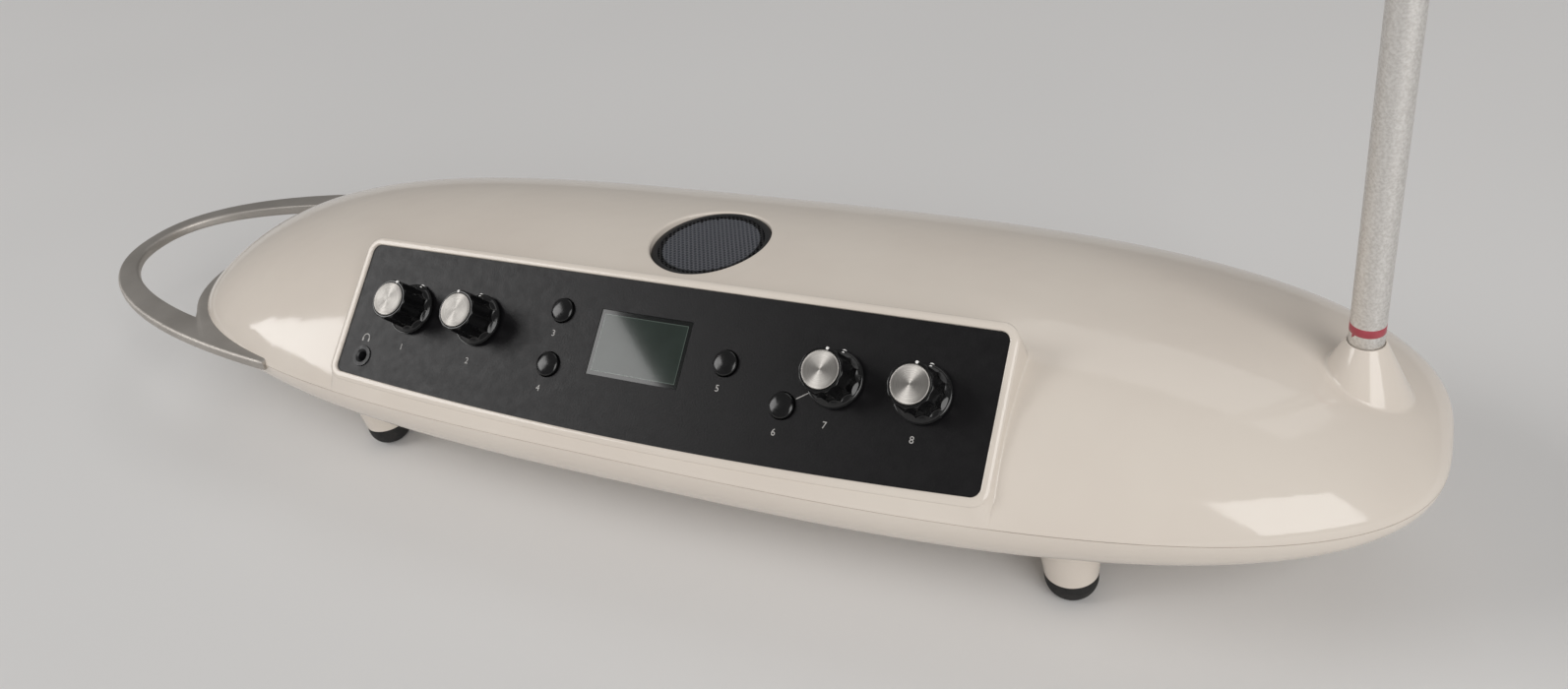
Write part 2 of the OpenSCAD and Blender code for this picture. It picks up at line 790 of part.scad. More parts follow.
module volume_board() {
    color("#1f5a38") on_table() translate([-132, -18, io_level - board_thickness])
        difference() {
            cube([34, 36, board_thickness]);
            at_places(volume_post_places) translate([132, 18, -1]) cylinder(r = 1.3, h = 4);
        }
}

module volume_coil() {
    color("#b06a35") on_table() translate([-105, 2, io_level]) coil_can();
}

// A bore along the depth of the case, opening to the rear.
module rear_bore(x, r, depth) {
    translate([x, rear_face + 3, jack_level]) rotate([90, 0, 0]) cylinder(r = r, h = depth + 3);
}

// One plate of the rear panel, between two places along the case.
module rear_plate(low, high) {
    pocket = bay_rim - 1 - fit;
    translate([low, rear_face - rear_thickness - fit, -bay_bottom - pocket])
        cube([high - low, rear_thickness, bay_bottom + bay_top + 2 * pocket]);
}

// The rear panel: a plate for the power and one for the sound, on either side of the USB plate.
module rear_panel() {
    end = bay_end + bay_rim - 1 - fit;
    color("#232326") on_table() {
        difference() {
            rear_plate(-end, usb_x - usb_plate_width / 2 - fit);
            rear_bore(inlet_x, power_bore + 1.6, 10);
            translate([switch_x, rear_face, jack_level])
                cube([rocker_width + 3.2, 10, rocker_height + 3.2], center = true);
        }
        difference() {
            rear_plate(usb_x + usb_plate_width / 2 + fit, end);
            for (x = line_x) rear_bore(x, line_bore + 2.6, 10);
            rear_bore(cv_x, phones_bore + 2.1, 10);
        }
    }
}

module usb_plate() {
    color("#232326") on_table() difference() {
        rear_plate(usb_x - usb_plate_width / 2, usb_x + usb_plate_width / 2);
        translate([usb_x, rear_face, jack_level]) cube([12.4, 10, 11.2], center = true);
    }
}

module rear_board() {
    color("#1f5a38") on_table() difference() {
        translate([-io_reach, rear_face - io_depth - 3, io_level - board_thickness])
            cube([2 * io_reach, io_depth, board_thickness]);
        at_places(io_post_places) translate([0, 0, io_level - 4]) cylinder(r = 1.3, h = 5 * board_thickness);
    }
}

// A jack: a moulded body on the rear board and a threaded nose through the rear panel.
module panel_jack(x, width, depth, height, nose, bore) {
    back = rear_face - rear_thickness - fit;
    difference() {
        union() {
            translate([x - width / 2, back - depth, io_level]) cube([width, depth, height]);
            translate([x, back + rear_thickness + 2.5, jack_level]) rotate([90, 0, 0])
                cylinder(r = nose, h = rear_thickness + 3.5);
        }
        translate([x, back + 10, jack_level]) rotate([90, 0, 0]) cylinder(r = bore, h = 10 + depth - 2);
    }
}

module line_jacks() {
    color("#1d1d1f") on_table() {
        for (x = line_x) panel_jack(x, 16, 26, 21, line_bore + 2.5, line_bore);
    }
}

module cv_jack() {
    color("#1d1d1f") on_table() panel_jack(cv_x, 11, 16, 17, phones_bore + 2, phones_bore);
}

module power_inlet() {
    color("#1d1d1f") on_table() panel_jack(inlet_x, 11, 15, 17, power_bore + 1.5, power_bore);
}

module usb_socket() {
    back = rear_face - rear_thickness - fit;
    color("#b8b9bb") on_table() difference() {
        union() {
            translate([usb_x - 6, back - 15, io_level]) cube([12, 15, 16.4]);
            translate([usb_x - 6, back - 1, jack_level - 5.4]) cube([12, rear_thickness + 2.4, 10.8]);
        }
        translate([usb_x - 4.2, back - 10, jack_level - 3.8]) cube([8.4, 20, 7.6]);
    }
}

module power_switch() {
    back = rear_face - rear_thickness - fit;
    color("#161617") on_table() difference() {
        union() {
            translate([switch_x, back - 8, jack_level])
                cube([rocker_width + 3, 16, rocker_height + 3], center = true);
            translate([switch_x, back + rear_thickness / 2 + 0.75, jack_level])
                cube([rocker_width + 3, rear_thickness + 1.5, rocker_height + 3], center = true);
        }
        translate([switch_x, back, jack_level])
            cube([rocker_width + 0.6, 22, rocker_height + 0.6], center = true);
        rocker_pin(rocker_width + 4, 0.05);
    }
}

// The pin that a rocker turns on, along the case.
module rocker_pin(length, play) {
    translate([switch_x - length / 2, rear_face - rear_thickness - fit - 1, jack_level])
        rotate([0, 90, 0]) cylinder(r = 1 + play, h = length);
}

// The rocker: a slab whose face has two shallow slopes, tipped to its off side.
module power_rocker() {
    pivot = rear_face - rear_thickness - fit - 1;
    h = rocker_height / 2;
    color("#2c2c2e") on_table() {
        translate([switch_x - rocker_width / 2, pivot, jack_level])
            rotate([rocker_tilt, 0, 0]) rotate([90, 0, 90]) linear_extrude(rocker_width)
                polygon([[-2, 1 - h], [4.4, 0.6 - h], [3, 0], [4.4, h - 0.6], [-2, h - 1]]);
        rocker_pin(rocker_width + 2, 0);
    }
}

module board_screws() {
    color("#4a4a4c") on_table()
        at_places(concat(io_post_places, pitch_post_places, volume_post_places))
            translate([0, 0, io_level - board_thickness]) {
                translate([0, 0, -5]) cylinder(r = 1, h = 5 + board_thickness);
                translate([0, 0, board_thickness]) cylinder(r = 2.2, h = 1.4);
            }
}

// A knob: a skirt that sweeps up into a fluted grip, which carries the cap.
module knob(index) {
    r = knob_skirt / 2;
    top = knob_height - cap_thickness;
    grip = knob_cap / 2 + 1.2;
    flute = 4;
    color("#0c0c0d") on_table() on_panel() translate([knob_x[index], knob_v, 0]) difference() {
        rotate_extrude() polygon(concat(
            [[0, knob_base], [r - 0.4, knob_base], [r, knob_base + 0.4]],
            [for (a = [0:15:90]) [grip + 0.3 + (r - grip - 0.3) * (1 - sin(a)),
                knob_base + 1 + 3.6 * (1 - cos(a))]],
            [[grip, top - 0.6], [grip - 0.5, top], [0, top]]
        ));
        translate([0, 0, -1]) cylinder(r = bushing_radius + 0.4, h = knob_base + 2.2);
        cylinder(r = shaft_diameter / 2, h = top - 2);
        for (k = [0:knob_flutes - 1]) rotate([0, 0, 360 * (k + 0.5) / knob_flutes])
            translate([grip + flute - 0.45, 0, knob_base + 1.6]) cylinder(r = flute, h = knob_height);
    }
}

module knob_disc(index) {
    color("#d5d3cf") on_table() on_panel()
        translate([knob_x[index], knob_v, knob_height - cap_thickness]) rotate_extrude() polygon([
            [0, 0], [knob_cap / 2, 0], [knob_cap / 2, cap_thickness - 0.15],
            [knob_cap / 2 - 0.15, cap_thickness], [0, cap_thickness]
        ]);
}

module shaft(index) {
    color("#a9abae") on_table() on_panel() translate([knob_x[index], knob_v, -8.5])
        cylinder(r = shaft_diameter / 2, h = 8.5 + knob_height - cap_thickness - 2);
}

// A push button: a domed cap, a flange behind the panel and a stem over its switch.
module button(index) {
    r = button_diameter / 2;
    back = -panel_thickness - button_gap;
    foot = switch_height - board_drop + button_travel + 0.1;
    color("#0c0c0d") on_table() on_panel() translate([button_x[index], button_v[index], 0])
        rotate_extrude() polygon(concat(
            [[0, foot], [1.8, foot], [1.8, back - flange_thickness]],
            [[r + 1, back - flange_thickness], [r + 1, back], [r, back], [r, 0.8]],
            [for (a = [15:15:90]) [r * cos(a), 0.8 + (button_rise - 0.8) * sin(a)]]
        ));
}

top_shell();
bottom_shell();
leg_tips();
case_screws();
stand_insert();
control_panel();
display_window();
display_module();
control_board();
control_pots();
preset_encoder();
button_switches();
headphone_jack();
speaker_grille();
speaker_basket();
speaker_cone();
speaker_magnet();
speaker_screws();
antenna_socket();
antenna_rod();
antenna_band();
antenna_plug();
pitch_board();
pitch_coil();
volume_loop();
loop_screws();
volume_board();
volume_coil();
rear_panel();
rear_board();
line_jacks();
cv_jack();
usb_plate();
usb_socket();
power_inlet();
power_switch();
power_rocker();
board_screws();
knob(0);  // volume_knob
knob(1);  // correction_knob
knob(2);  // amount_knob
knob(3);  // preset_knob
knob_disc(0);  // volume_knob_cap
knob_disc(1);  // correction_knob_cap
knob_disc(2);  // amount_knob_cap
knob_disc(3);  // preset_knob_cap
shaft(0);  // volume_shaft
shaft(1);  // correction_shaft
shaft(2);  // amount_shaft
shaft(3);  // preset_shaft
button(0);  // scale_button
button(1);  // root_button
button(2);  // setup_button
button(3);  // effect_button
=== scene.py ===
import json
import math

import bmesh
import bpy
import numpy as np
from mathutils import Matrix, Vector


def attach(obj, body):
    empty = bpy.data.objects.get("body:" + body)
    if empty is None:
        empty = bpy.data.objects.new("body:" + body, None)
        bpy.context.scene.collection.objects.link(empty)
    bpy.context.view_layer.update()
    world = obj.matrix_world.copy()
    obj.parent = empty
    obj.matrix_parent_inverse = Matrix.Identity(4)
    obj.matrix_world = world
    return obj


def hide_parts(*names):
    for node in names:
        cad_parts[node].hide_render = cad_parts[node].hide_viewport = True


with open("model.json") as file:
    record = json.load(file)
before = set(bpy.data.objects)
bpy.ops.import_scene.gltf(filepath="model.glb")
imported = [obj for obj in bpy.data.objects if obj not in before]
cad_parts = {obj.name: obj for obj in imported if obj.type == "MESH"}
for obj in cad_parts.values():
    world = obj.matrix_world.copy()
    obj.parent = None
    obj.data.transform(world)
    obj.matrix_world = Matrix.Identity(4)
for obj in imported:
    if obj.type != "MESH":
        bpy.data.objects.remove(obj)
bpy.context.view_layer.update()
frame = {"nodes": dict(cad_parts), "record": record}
nodes = frame["nodes"]
scene = bpy.context.scene
print("frame loaded,", len(nodes), "nodes")

# places and meshes
# Everything is worked out in millimetres about the middle of the case at its seam.
toTable = np.array([34.35, 0.0, 48.4])
seamGap = 0.12  # each shell ends this far from the seam
panelSpot = {"tilt": math.radians(40.5), "y": -49.5, "z": 23.8}  # the middle of the panel's face


def place(points):
    # millimetres about the case's middle become metres on the table
    return (np.asarray(points, float) + toTable) * 0.001


def onPanel(u, v, n):
    # a point at u along and v up the tilted panel, n above its face
    rise, run = math.sin(panelSpot["tilt"]), math.cos(panelSpot["tilt"])
    y = panelSpot["y"] + v * run - n * rise
    z = panelSpot["z"] + v * rise + n * run
    return np.stack(np.broadcast_arrays(u, y, z), -1).astype(float)


def gridFaces(rows, cols, closed=False):
    # quads between the rows of a grid; closed joins the last column to the first
    i, j = np.meshgrid(np.arange(rows - 1), np.arange(cols if closed else cols - 1), indexing="ij")
    a, b = i * cols + j, i * cols + (j + 1) % cols
    return np.stack([a, b, b + cols, a + cols], -1).reshape(-1, 4)


def patch(rings, centre, sign=1, closed=True, keep=None):
    # rows of points as one sheet that faces away from the centre, or towards it with sign -1
    rings = np.asarray(rings, float)
    points, faces = rings.reshape(-1, 3), gridFaces(rings.shape[0], rings.shape[1], closed)
    corner = points[faces]
    normal = np.cross(corner[:, 2] - corner[:, 0], corner[:, 3] - corner[:, 1])
    side = np.einsum("ij,ij->i", normal, corner.mean(1) - np.asarray(centre, float)).sum() * sign
    faces = faces[:, ::-1] if side < 0 else faces
    if keep is not None:
        faces = faces[keep(*points[faces].mean(1).T)]
    return points, faces


def meshFrom(name, parts, sharp=38, weld=0.004, uv=None):
    # joins sheets into one piece, closes their seams and poles, and keeps only real edges sharp
    starts = np.cumsum([0] + [len(p) for p, f in parts])
    points = place(np.concatenate([p for p, f in parts]))
    faces = np.concatenate([f + s for (p, f), s in zip(parts, starts)])
    mesh = bpy.data.meshes.new(name)
    mesh.vertices.add(len(points))
    mesh.vertices.foreach_set("co", points.ravel())
    mesh.loops.add(faces.size)
    mesh.loops.foreach_set("vertex_index", faces.ravel().astype(np.int32))
    mesh.polygons.add(len(faces))
    mesh.polygons.foreach_set("loop_start", np.arange(0, faces.size, 4, dtype=np.int32))
    mesh.update(calc_edges=True)
    if uv is not None:
        layer = mesh.uv_layers.new(name="turned")
        layer.data.foreach_set("uv", uv[faces.ravel()].ravel())
    work = bmesh.new()
    work.from_mesh(mesh)
    bmesh.ops.remove_doubles(work, verts=work.verts, dist=weld * 0.001)
    bmesh.ops.delete(work, geom=[v for v in work.verts if not v.link_faces], context="VERTS")
    work.to_mesh(mesh)
    work.free()
    mesh.polygons.foreach_set("use_smooth", np.ones(len(mesh.polygons), bool))
    mesh.set_sharp_from_angle(angle=math.radians(sharp))
    piece = bpy.data.objects.new(name, mesh)
    scene.collection.objects.link(piece)
    return piece


def finish(piece, body, slot, material, *stands):
    # gives a piece its body, its slot in the record, its material and the CAD nodes it stands for
    piece.data.materials.clear()
    piece.data.materials.append(material)
    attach(piece, body)
    if stands:
        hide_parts(*stands)
    return piece


# materials
def linear(code):
    # an sRGB hex colour as the linear one that the shader wants
    c = np.array([int(code[i : i + 2], 16) for i in (1, 3, 5)]) / 255
    c = np.where(c <= 0.04045, c / 12.92, ((c + 0.055) / 1.055) ** 2.4)
    return (*map(float, c), 1.0)


def addNode(tree, kind, settings=None, links=None):
    # adds a node, sets its sockets or properties by name, and links its inputs
    node = tree.nodes.new("ShaderNode" + kind)
    for key, value in (settings or {}).items():
        if isinstance(key, int) or key in node.inputs:
            node.inputs[key].default_value = value
        else:
            setattr(node, key, value)
    for key, source in (links or {}).items():
        tree.links.new(source, node.inputs[key])
    return node


def startMaterial(name, shader):
    # an empty material with its shader and output, and the object's own coordinates
    material = bpy.data.materials.new(name)
    material.use_nodes = True
    tree = material.node_tree
    tree.nodes.clear()
    bsdf = addNode(tree, "BsdfPrincipled", shader)
    addNode(tree, "OutputMaterial", None, {"Surface": bsdf.outputs[0]})
    where = addNode(tree, "TexCoord").outputs["Object"]
    return material, tree, bsdf, where


def spots(tree, where, sizeMm, detail=2, stretch=(1, 1, 1)):
    # noise whose patches are about sizeMm across, drawn out along an axis by stretch
    scaled = addNode(tree, "Mapping", {"Scale": stretch}, {"Vector": where})
    settings = {"Scale": 1000 / sizeMm, "Detail": detail, "Roughness": 0.55}
    return addNode(tree, "TexNoise", settings, {"Vector": scaled.outputs[0]}).outputs["Fac"]


def between(tree, value, low, high, toLow=0.0, toHigh=1.0):
    # moves a value from one range to another
    settings = {"From Min": low, "From Max": high, "To Min": toLow, "To Max": toHigh}
    return addNode(tree, "MapRange", settings, {"Value": value}).outputs["Result"]


def mixColour(tree, value, first, second):
    # the first colour where the value is 0, the second where it is 1, and a straight blend between.
    # The node's sockets 6 and 7 take the two colours, and its output 2 gives the blend.
    node = addNode(tree, "Mix", {"data_type": "RGBA"}, {0: value})
    for index, colour in ((6, first), (7, second)):
        if isinstance(colour, str):
            node.inputs[index].default_value = linear(colour)
        else:
            tree.links.new(colour, node.inputs[index])
    return node.outputs[2]


def addRelief(tree, bsdf, height, strength, depth):
    # tilts the shading by the slope of a height
    bump = addNode(tree, "Bump", {"Strength": strength, "Distance": depth}, {"Height": height})
    tree.links.new(bump.outputs[0], bsdf.inputs["Normal"])


def finishedSurface(name, look):
    # a moulded, painted or machined surface: two close tones, uneven gloss and a fine relief
    shader = {"Metallic": look.get("metal", 0.0)}
    shader.update(look.get("shader", {}))
    material, tree, bsdf, where = startMaterial(name, shader)
    stretch = look.get("stretch", (1, 1, 1))
    tone = between(tree, spots(tree, where, look["toneMm"], 3, stretch), 0.35, 0.65)
    tree.links.new(mixColour(tree, tone, *look["tones"]), bsdf.inputs["Base Color"])
    gloss = spots(tree, where, look["toneMm"] * 0.37, 4, stretch)
    tree.links.new(between(tree, gloss, 0.3, 0.7, *look["rough"]), bsdf.inputs["Roughness"])
    grain = spots(tree, where, look["grainMm"], 1, stretch)
    addRelief(tree, bsdf, grain, look["relief"], look["grainMm"] * 0.0002)
    return material


looks = {
    # ABS, moulded in a polished tool: warm ivory, high gloss with a faint unevenness
    "shell": {"made": "polished ivory ABS", "tones": ("#e3dacf", "#dfd5ca"), "toneMm": 60,
              "rough": (0.07, 0.12), "grainMm": 7, "relief": 0.05},
    # powder-coated steel: near black, even and half matt, with a grit of about 0.5 mm
    "panel": {"made": "powder-coated steel", "tones": ("#100f11", "#0d0c0e"), "toneMm": 9,
              "rough": (0.34, 0.42), "grainMm": 0.6, "relief": 0.25,
              "shader": {"Specular IOR Level": 0.3}},
    # ABS, glossy black: nearly all that shows of it is what it reflects
    "knob": {"made": "glossy black ABS", "tones": ("#0b0b0c", "#0e0e0f"), "toneMm": 5,
             "rough": (0.1, 0.2), "grainMm": 2, "relief": 0.06},
    # ABS, glossy black like the knobs, dulled a little by fingers
    "button": {"made": "handled black ABS", "tones": ("#0b0b0c", "#101011"), "toneMm": 3,
               "rough": (0.12, 0.24), "grainMm": 1.5, "relief": 0.06},
    # nylon, moulded with a spark-eroded matt grain
    "rocker": {"made": "grained black nylon", "tones": ("#151516", "#1b1b1c"), "toneMm": 4,
               "rough": (0.4, 0.55), "grainMm": 0.5, "relief": 0.4},
    "dark_plastic": {"made": "matt black nylon", "tones": ("#17171a", "#1d1d1f"), "toneMm": 5,
                     "rough": (0.35, 0.5), "grainMm": 0.5, "relief": 0.35},
    # mild steel, stamped and painted black: a thin satin coat that pools a little
    "grille_steel": {"made": "enamelled steel", "tones": ("#17171a", "#121214"), "toneMm": 6,
                     "rough": (0.3, 0.42), "grainMm": 0.8, "relief": 0.15},
    # natural rubber: matt, slightly dusty black
    "leg_rubber": {"made": "natural rubber", "tones": ("#1a1a1a", "#242322"), "toneMm": 4,
                   "rough": (0.7, 0.85), "grainMm": 0.8, "relief": 0.4},
    # brass, turned: yellow metal with fine lines round its axis
    "brass": {"made": "turned brass", "tones": ("#c9a85a", "#b89446"), "toneMm": 3,
              "rough": (0.2, 0.34), "grainMm": 0.5, "relief": 0.2,
              "metal": 1.0, "stretch": (1, 1, 6)},
    # nickel-plated steel: cool and bright, a little worn
    "plated_steel": {"made": "nickel-plated steel", "tones": ("#b9b9bb", "#a5a5a8"), "toneMm": 4,
                     "rough": (0.2, 0.34), "grainMm": 0.8, "relief": 0.12,
                     "metal": 1.0},
    "magnet_steel": {"made": "zinc-plated steel", "tones": ("#8d8f92", "#7b7d80"), "toneMm": 6,
                     "rough": (0.35, 0.5), "grainMm": 0.7, "relief": 0.2,
                     "metal": 1.0},
    # zinc-plated steel, blackened: screws
    "screws": {"made": "blackened zinc steel", "tones": ("#55555a", "#47474a"), "toneMm": 2,
               "rough": (0.3, 0.45), "grainMm": 0.6, "relief": 0.15,
               "metal": 1.0},
    # paper pulp, pressed: a black speaker cone with a felt-like surface
    "cone_paper": {"made": "pressed paper pulp", "tones": ("#1b1916", "#242120"), "toneMm": 2,
                   "rough": (0.8, 0.95), "grainMm": 0.5, "relief": 0.5},
    # phenolic and steel cans of the pots
    "pot_body": {"made": "phenolic and steel", "tones": ("#3f4a5c", "#36404f"), "toneMm": 3,
                 "rough": (0.35, 0.5), "grainMm": 0.6, "relief": 0.2},
    # enamelled copper wire, wound: bands of about half a millimetre
    "copper": {"made": "enamelled copper wire", "tones": ("#b8703c", "#96562a"), "toneMm": 1.2,
               "rough": (0.25, 0.4), "grainMm": 0.5, "relief": 0.5,
               "metal": 1.0, "stretch": (0.1, 0.1, 2)},
    # vinyl ink, printed: pale grey legends, faintly uneven
    "ink": {"made": "vinyl ink", "tones": ("#b9b7b4", "#aeaca9"), "toneMm": 1,
            "rough": (0.5, 0.65), "grainMm": 0.4, "relief": 0.1},
    # enamel, filled into the pointer's dot on the rim: a clean white, which also paints a highlight into two
    # dots on the skirt
    "pointer": {"made": "white enamel and painted highlight", "tones": ("#f6f5f3", "#eeedea"), "toneMm": 1,
                "rough": (0.3, 0.4), "grainMm": 0.4, "relief": 0.05},
    # enamel, crimson: the ring round the rod
    "band": {"made": "crimson enamel", "tones": ("#b04a55", "#a5404c"), "toneMm": 3,
             "rough": (0.3, 0.4), "grainMm": 0.6, "relief": 0.1},
}
finishes = {slot: finishedSurface(look["made"], look) for slot, look in looks.items()}


def blastedAluminium(made, tones, cloudMm, pitMm, rough, relief):
    # aluminium, bead-blasted and clear anodised: a grey satin metal with a sparkle of fine pits.
    # Real pits are 0.1 mm; they are drawn 0.5 or 0.6 mm across so that they show.
    material, tree, bsdf, where = startMaterial(made, {"Metallic": 1.0})
    cloud = between(tree, spots(tree, where, cloudMm, 3), 0.35, 0.65)
    tree.links.new(mixColour(tree, cloud, *tones), bsdf.inputs["Base Color"])
    pits = spots(tree, where, pitMm, 2)
    tree.links.new(between(tree, pits, 0.3, 0.7, *rough), bsdf.inputs["Roughness"])
    addRelief(tree, bsdf, pits, relief, pitMm * 0.00016)
    return material


blasted = {
    "loop": {"made": "blasted aluminium sheet", "tones": ("#c3beb8", "#b6b1ab"), "cloudMm": 25,
             "pitMm": 0.5, "rough": (0.48, 0.6), "relief": 0.5},
    "rod": {"made": "blasted aluminium bar", "tones": ("#eeece9", "#dad7d3"), "cloudMm": 0.8,
            "pitMm": 0.6, "rough": (0.46, 0.6), "relief": 0.4},
}


def spunAluminium():
    # aluminium, spun and diamond cut: fine rings throw bright wedges across the cap.
    # Real cuts are 0.05 mm apart; they are drawn 0.25 mm apart so that they show.
    shader = {"Metallic": 1.0, "Anisotropic": 0.95}
    material, tree, bsdf = startMaterial("spun aluminium", shader)[:3]
    turned = addNode(tree, "UVMap", {"uv_map": "turned"}).outputs[0]
    radius = addNode(tree, "SeparateXYZ", None, {0: turned}).outputs["Y"]
    settings = {"noise_dimensions": "1D", "Scale": 24.0, "Detail": 2.0}
    rings = addNode(tree, "TexNoise", settings, {"W": radius}).outputs["Fac"]
    cuts = between(tree, rings, 0.3, 0.7)
    tree.links.new(mixColour(tree, cuts, "#d2cfca", "#bcb8b3"), bsdf.inputs["Base Color"])
    tree.links.new(between(tree, rings, 0.3, 0.7, 0.46, 0.58), bsdf.inputs["Roughness"])
    tangent = addNode(tree, "Tangent", {"direction_type": "UV_MAP", "uv_map": "turned"})
    tree.links.new(tangent.outputs[0], bsdf.inputs["Tangent"])
    return material


display = {"u": 1.2, "v": 1.9, "line": (16.1, 9.7), "field": (15.9, 9.5), "edge": 0.1}


def displayGlass():
    # acrylic over a switched-off liquid crystal: grey-green field in a black border, under a polished sheet
    shader = {"Roughness": 0.06, "Coat Weight": 0.15, "Coat Roughness": 0.03, "IOR": 1.49}
    material, tree, bsdf, where = startMaterial("display acrylic", shader)
    middle = tuple(place(onPanel(display["u"], display["v"], 0)))
    moved = addNode(tree, "VectorMath", {"operation": "SUBTRACT", 1: middle}, {0: where}).outputs[0]
    settings = {"rotation_type": "X_AXIS", "Angle": -panelSpot["tilt"]}
    turned = addNode(tree, "VectorRotate", settings, {"Vector": moved}).outputs[0]
    axes = addNode(tree, "SeparateXYZ", None, {0: turned})
    size = {"operation": "ABSOLUTE"}
    wide, tall = (addNode(tree, "Math", size, {0: axes.outputs[axis]}).outputs[0] for axis in "XY")

    def inside(u, v):
        # 1 within u and v of the display's middle, falling to 0 over its edge
        u, v, edge = u * 0.001, v * 0.001, display["edge"] * 0.001
        across = between(tree, wide, u, u + edge, 1.0, 0.0)
        up = between(tree, tall, v, v + edge, 1.0, 0.0)
        return addNode(tree, "Math", {"operation": "MULTIPLY"}, {0: across, 1: up}).outputs[0]

    cloud = between(tree, spots(tree, where, 12, 2), 0.35, 0.65)
    field = mixColour(tree, cloud, "#222b26", "#28322d")
    framed = mixColour(tree, inside(*display["line"]), "#0e1110", "#56625b")
    tree.links.new(mixColour(tree, inside(*display["field"]), framed, field), bsdf.inputs["Base Color"])
    return material


def circuitBoard():
    # glass-epoxy laminate under green lacquer, with the paler lines of its copper tracks
    material, tree, bsdf, where = startMaterial("circuit laminate", {"Roughness": 0.35, "IOR": 1.5})
    settings = {"Scale": 160.0, "Mortar Size": 0.02, "Brick Width": 0.7, "Row Height": 0.35}
    settings.update(Color1=linear("#1d5a37"), Color2=linear("#246942"), Mortar=linear("#3a7f52"))
    tracks = addNode(tree, "TexBrick", settings, {"Vector": where})
    tree.links.new(tracks.outputs["Color"], bsdf.inputs["Base Color"])
    addRelief(tree, bsdf, tracks.outputs["Fac"], 0.2, 0.00003)
    return material


finishes.update({slot: blastedAluminium(**look) for slot, look in blasted.items()})
finishes["knob_cap"] = spunAluminium()
finishes["display_glass"] = displayGlass()
finishes["board"] = circuitBoard()
for entry in frame["record"]["subparts"]:
    cadMesh = nodes[entry["node"]].data
    cadMesh.materials.clear()
    cadMesh.materials.append(finishes[entry["material_slot"]])
print("materials made:", len(finishes))

# the case's shape
caseForm = {
    "halfLength": 239.0, "halfDepth": 75.3, "crown": 34.4, "belly": 37.4, "crestBack": 2.6,
    # powers of the curves: the outline, the ridge line, the sections' front, tips and rear, and the belly
    "plan": 2.866, "ridge": 4.05, "ridgeFall": 1.712,
    "front": 2.35, "frontFall": 1.2, "tip": 1.85, "rear": 2.08, "bellyBow": 2.07,
    "easeFrom": 150, "easeOver": 80,
    # where the sections change their spacing, and how many stand in each stretch
    "stops": (0, 74.6, 123.6, 179.4), "counts": (23, 16, 17), "tipCount": 46,
}


def seamHalf(x):
    # half the depth of the seam's outline at x: a superellipse
    s = np.clip(np.abs(x) / caseForm["halfLength"], 0, 1)
    return caseForm["halfDepth"] * (1 - s ** caseForm["plan"]) ** (1 / caseForm["plan"])


def crestOf(x):
    # the crest's place and height at x: level along the middle, then falling steeply
    s = np.clip(np.abs(x) / caseForm["halfLength"], 0, 1)
    high = caseForm["crown"] * (1 - s ** caseForm["ridge"]) ** (1 / caseForm["ridgeFall"])
    return caseForm["crestBack"] * (1 - s * s), high


def frontBow(x):
    # the two powers of the front's section: flat beside the panel, easing into an ellipse at the tips
    t = np.clip((np.abs(x) - caseForm["easeFrom"]) / caseForm["easeOver"], 0, 1)
    t = t * t * (3 - 2 * t)
    tip = caseForm["tip"] * t
    return caseForm["front"] * (1 - t) + tip, caseForm["frontFall"] * (1 - t) + tip


def crownZ(x, y):
    # height of the upper shell: a near-elliptic section at every x, fuller behind the crest
    crest, high = crestOf(x)
    front = y < crest
    reach = np.maximum(1e-3, seamHalf(x) + np.where(front, crest, -crest))
    frontPower, frontFall = frontBow(x)
    bow = np.where(front, frontPower, caseForm["rear"])
    fall = np.where(front, frontFall, caseForm["rear"])
    return high * (1 - np.clip(np.abs(y - crest) / reach, 0, 1) ** bow) ** (1 / fall)


def bellyZ(x, y):
    # depth of the lower shell: one superellipse bow over the seam's outline
    plan, bow = caseForm["plan"], caseForm["bellyBow"]
    g = (np.abs(x) / caseForm["halfLength"]) ** plan + (np.abs(y) / caseForm["halfDepth"]) ** plan
    g = np.clip(g, 0, 1) ** (bow / plan)
    return -caseForm["belly"] * (1 - g) ** (1 / bow)


def rearY(x, z):
    # how far back the case reaches at x and height z: the two functions above, solved for y
    plan, bow, rear = caseForm["plan"], caseForm["bellyBow"], caseForm["rear"]
    crest, high = crestOf(x)
    up = crest + (seamHalf(x) - crest) * (1 - (np.clip(z, 0, None) / high) ** rear) ** (1 / rear)
    g = (1 - (np.clip(-z, 0, None) / caseForm["belly"]) ** bow) ** (plan / bow)
    s = np.abs(x) / caseForm["halfLength"]
    down = caseForm["halfDepth"] * (g - s**plan) ** (1 / plan)
    return np.where(z >= 0, up, down)


def stations():
    # sections along the case: even in the middle, then even in depth towards each tip
    stops, plan = caseForm["stops"], caseForm["plan"]
    lines = [np.linspace(a, b, n)[:-1] for a, b, n in zip(stops, stops[1:], caseForm["counts"])]
    depth = np.linspace(seamHalf(np.array(stops[-1])), 0, caseForm["tipCount"])
    tip = caseForm["halfLength"] * (1 - (depth / caseForm["halfDepth"]) ** plan) ** (1 / plan)
    half = np.concatenate(lines + [tip])
    return np.concatenate([-half[:0:-1], half])


def ring(x, y, radius, count=96):
    # points round a circle at x, y, and the directions out from its middle
    a = np.linspace(0, 2 * np.pi, count, endpoint=False)
    return x + radius * np.cos(a), y + radius * np.sin(a), np.stack([np.cos(a), np.sin(a)], -1)


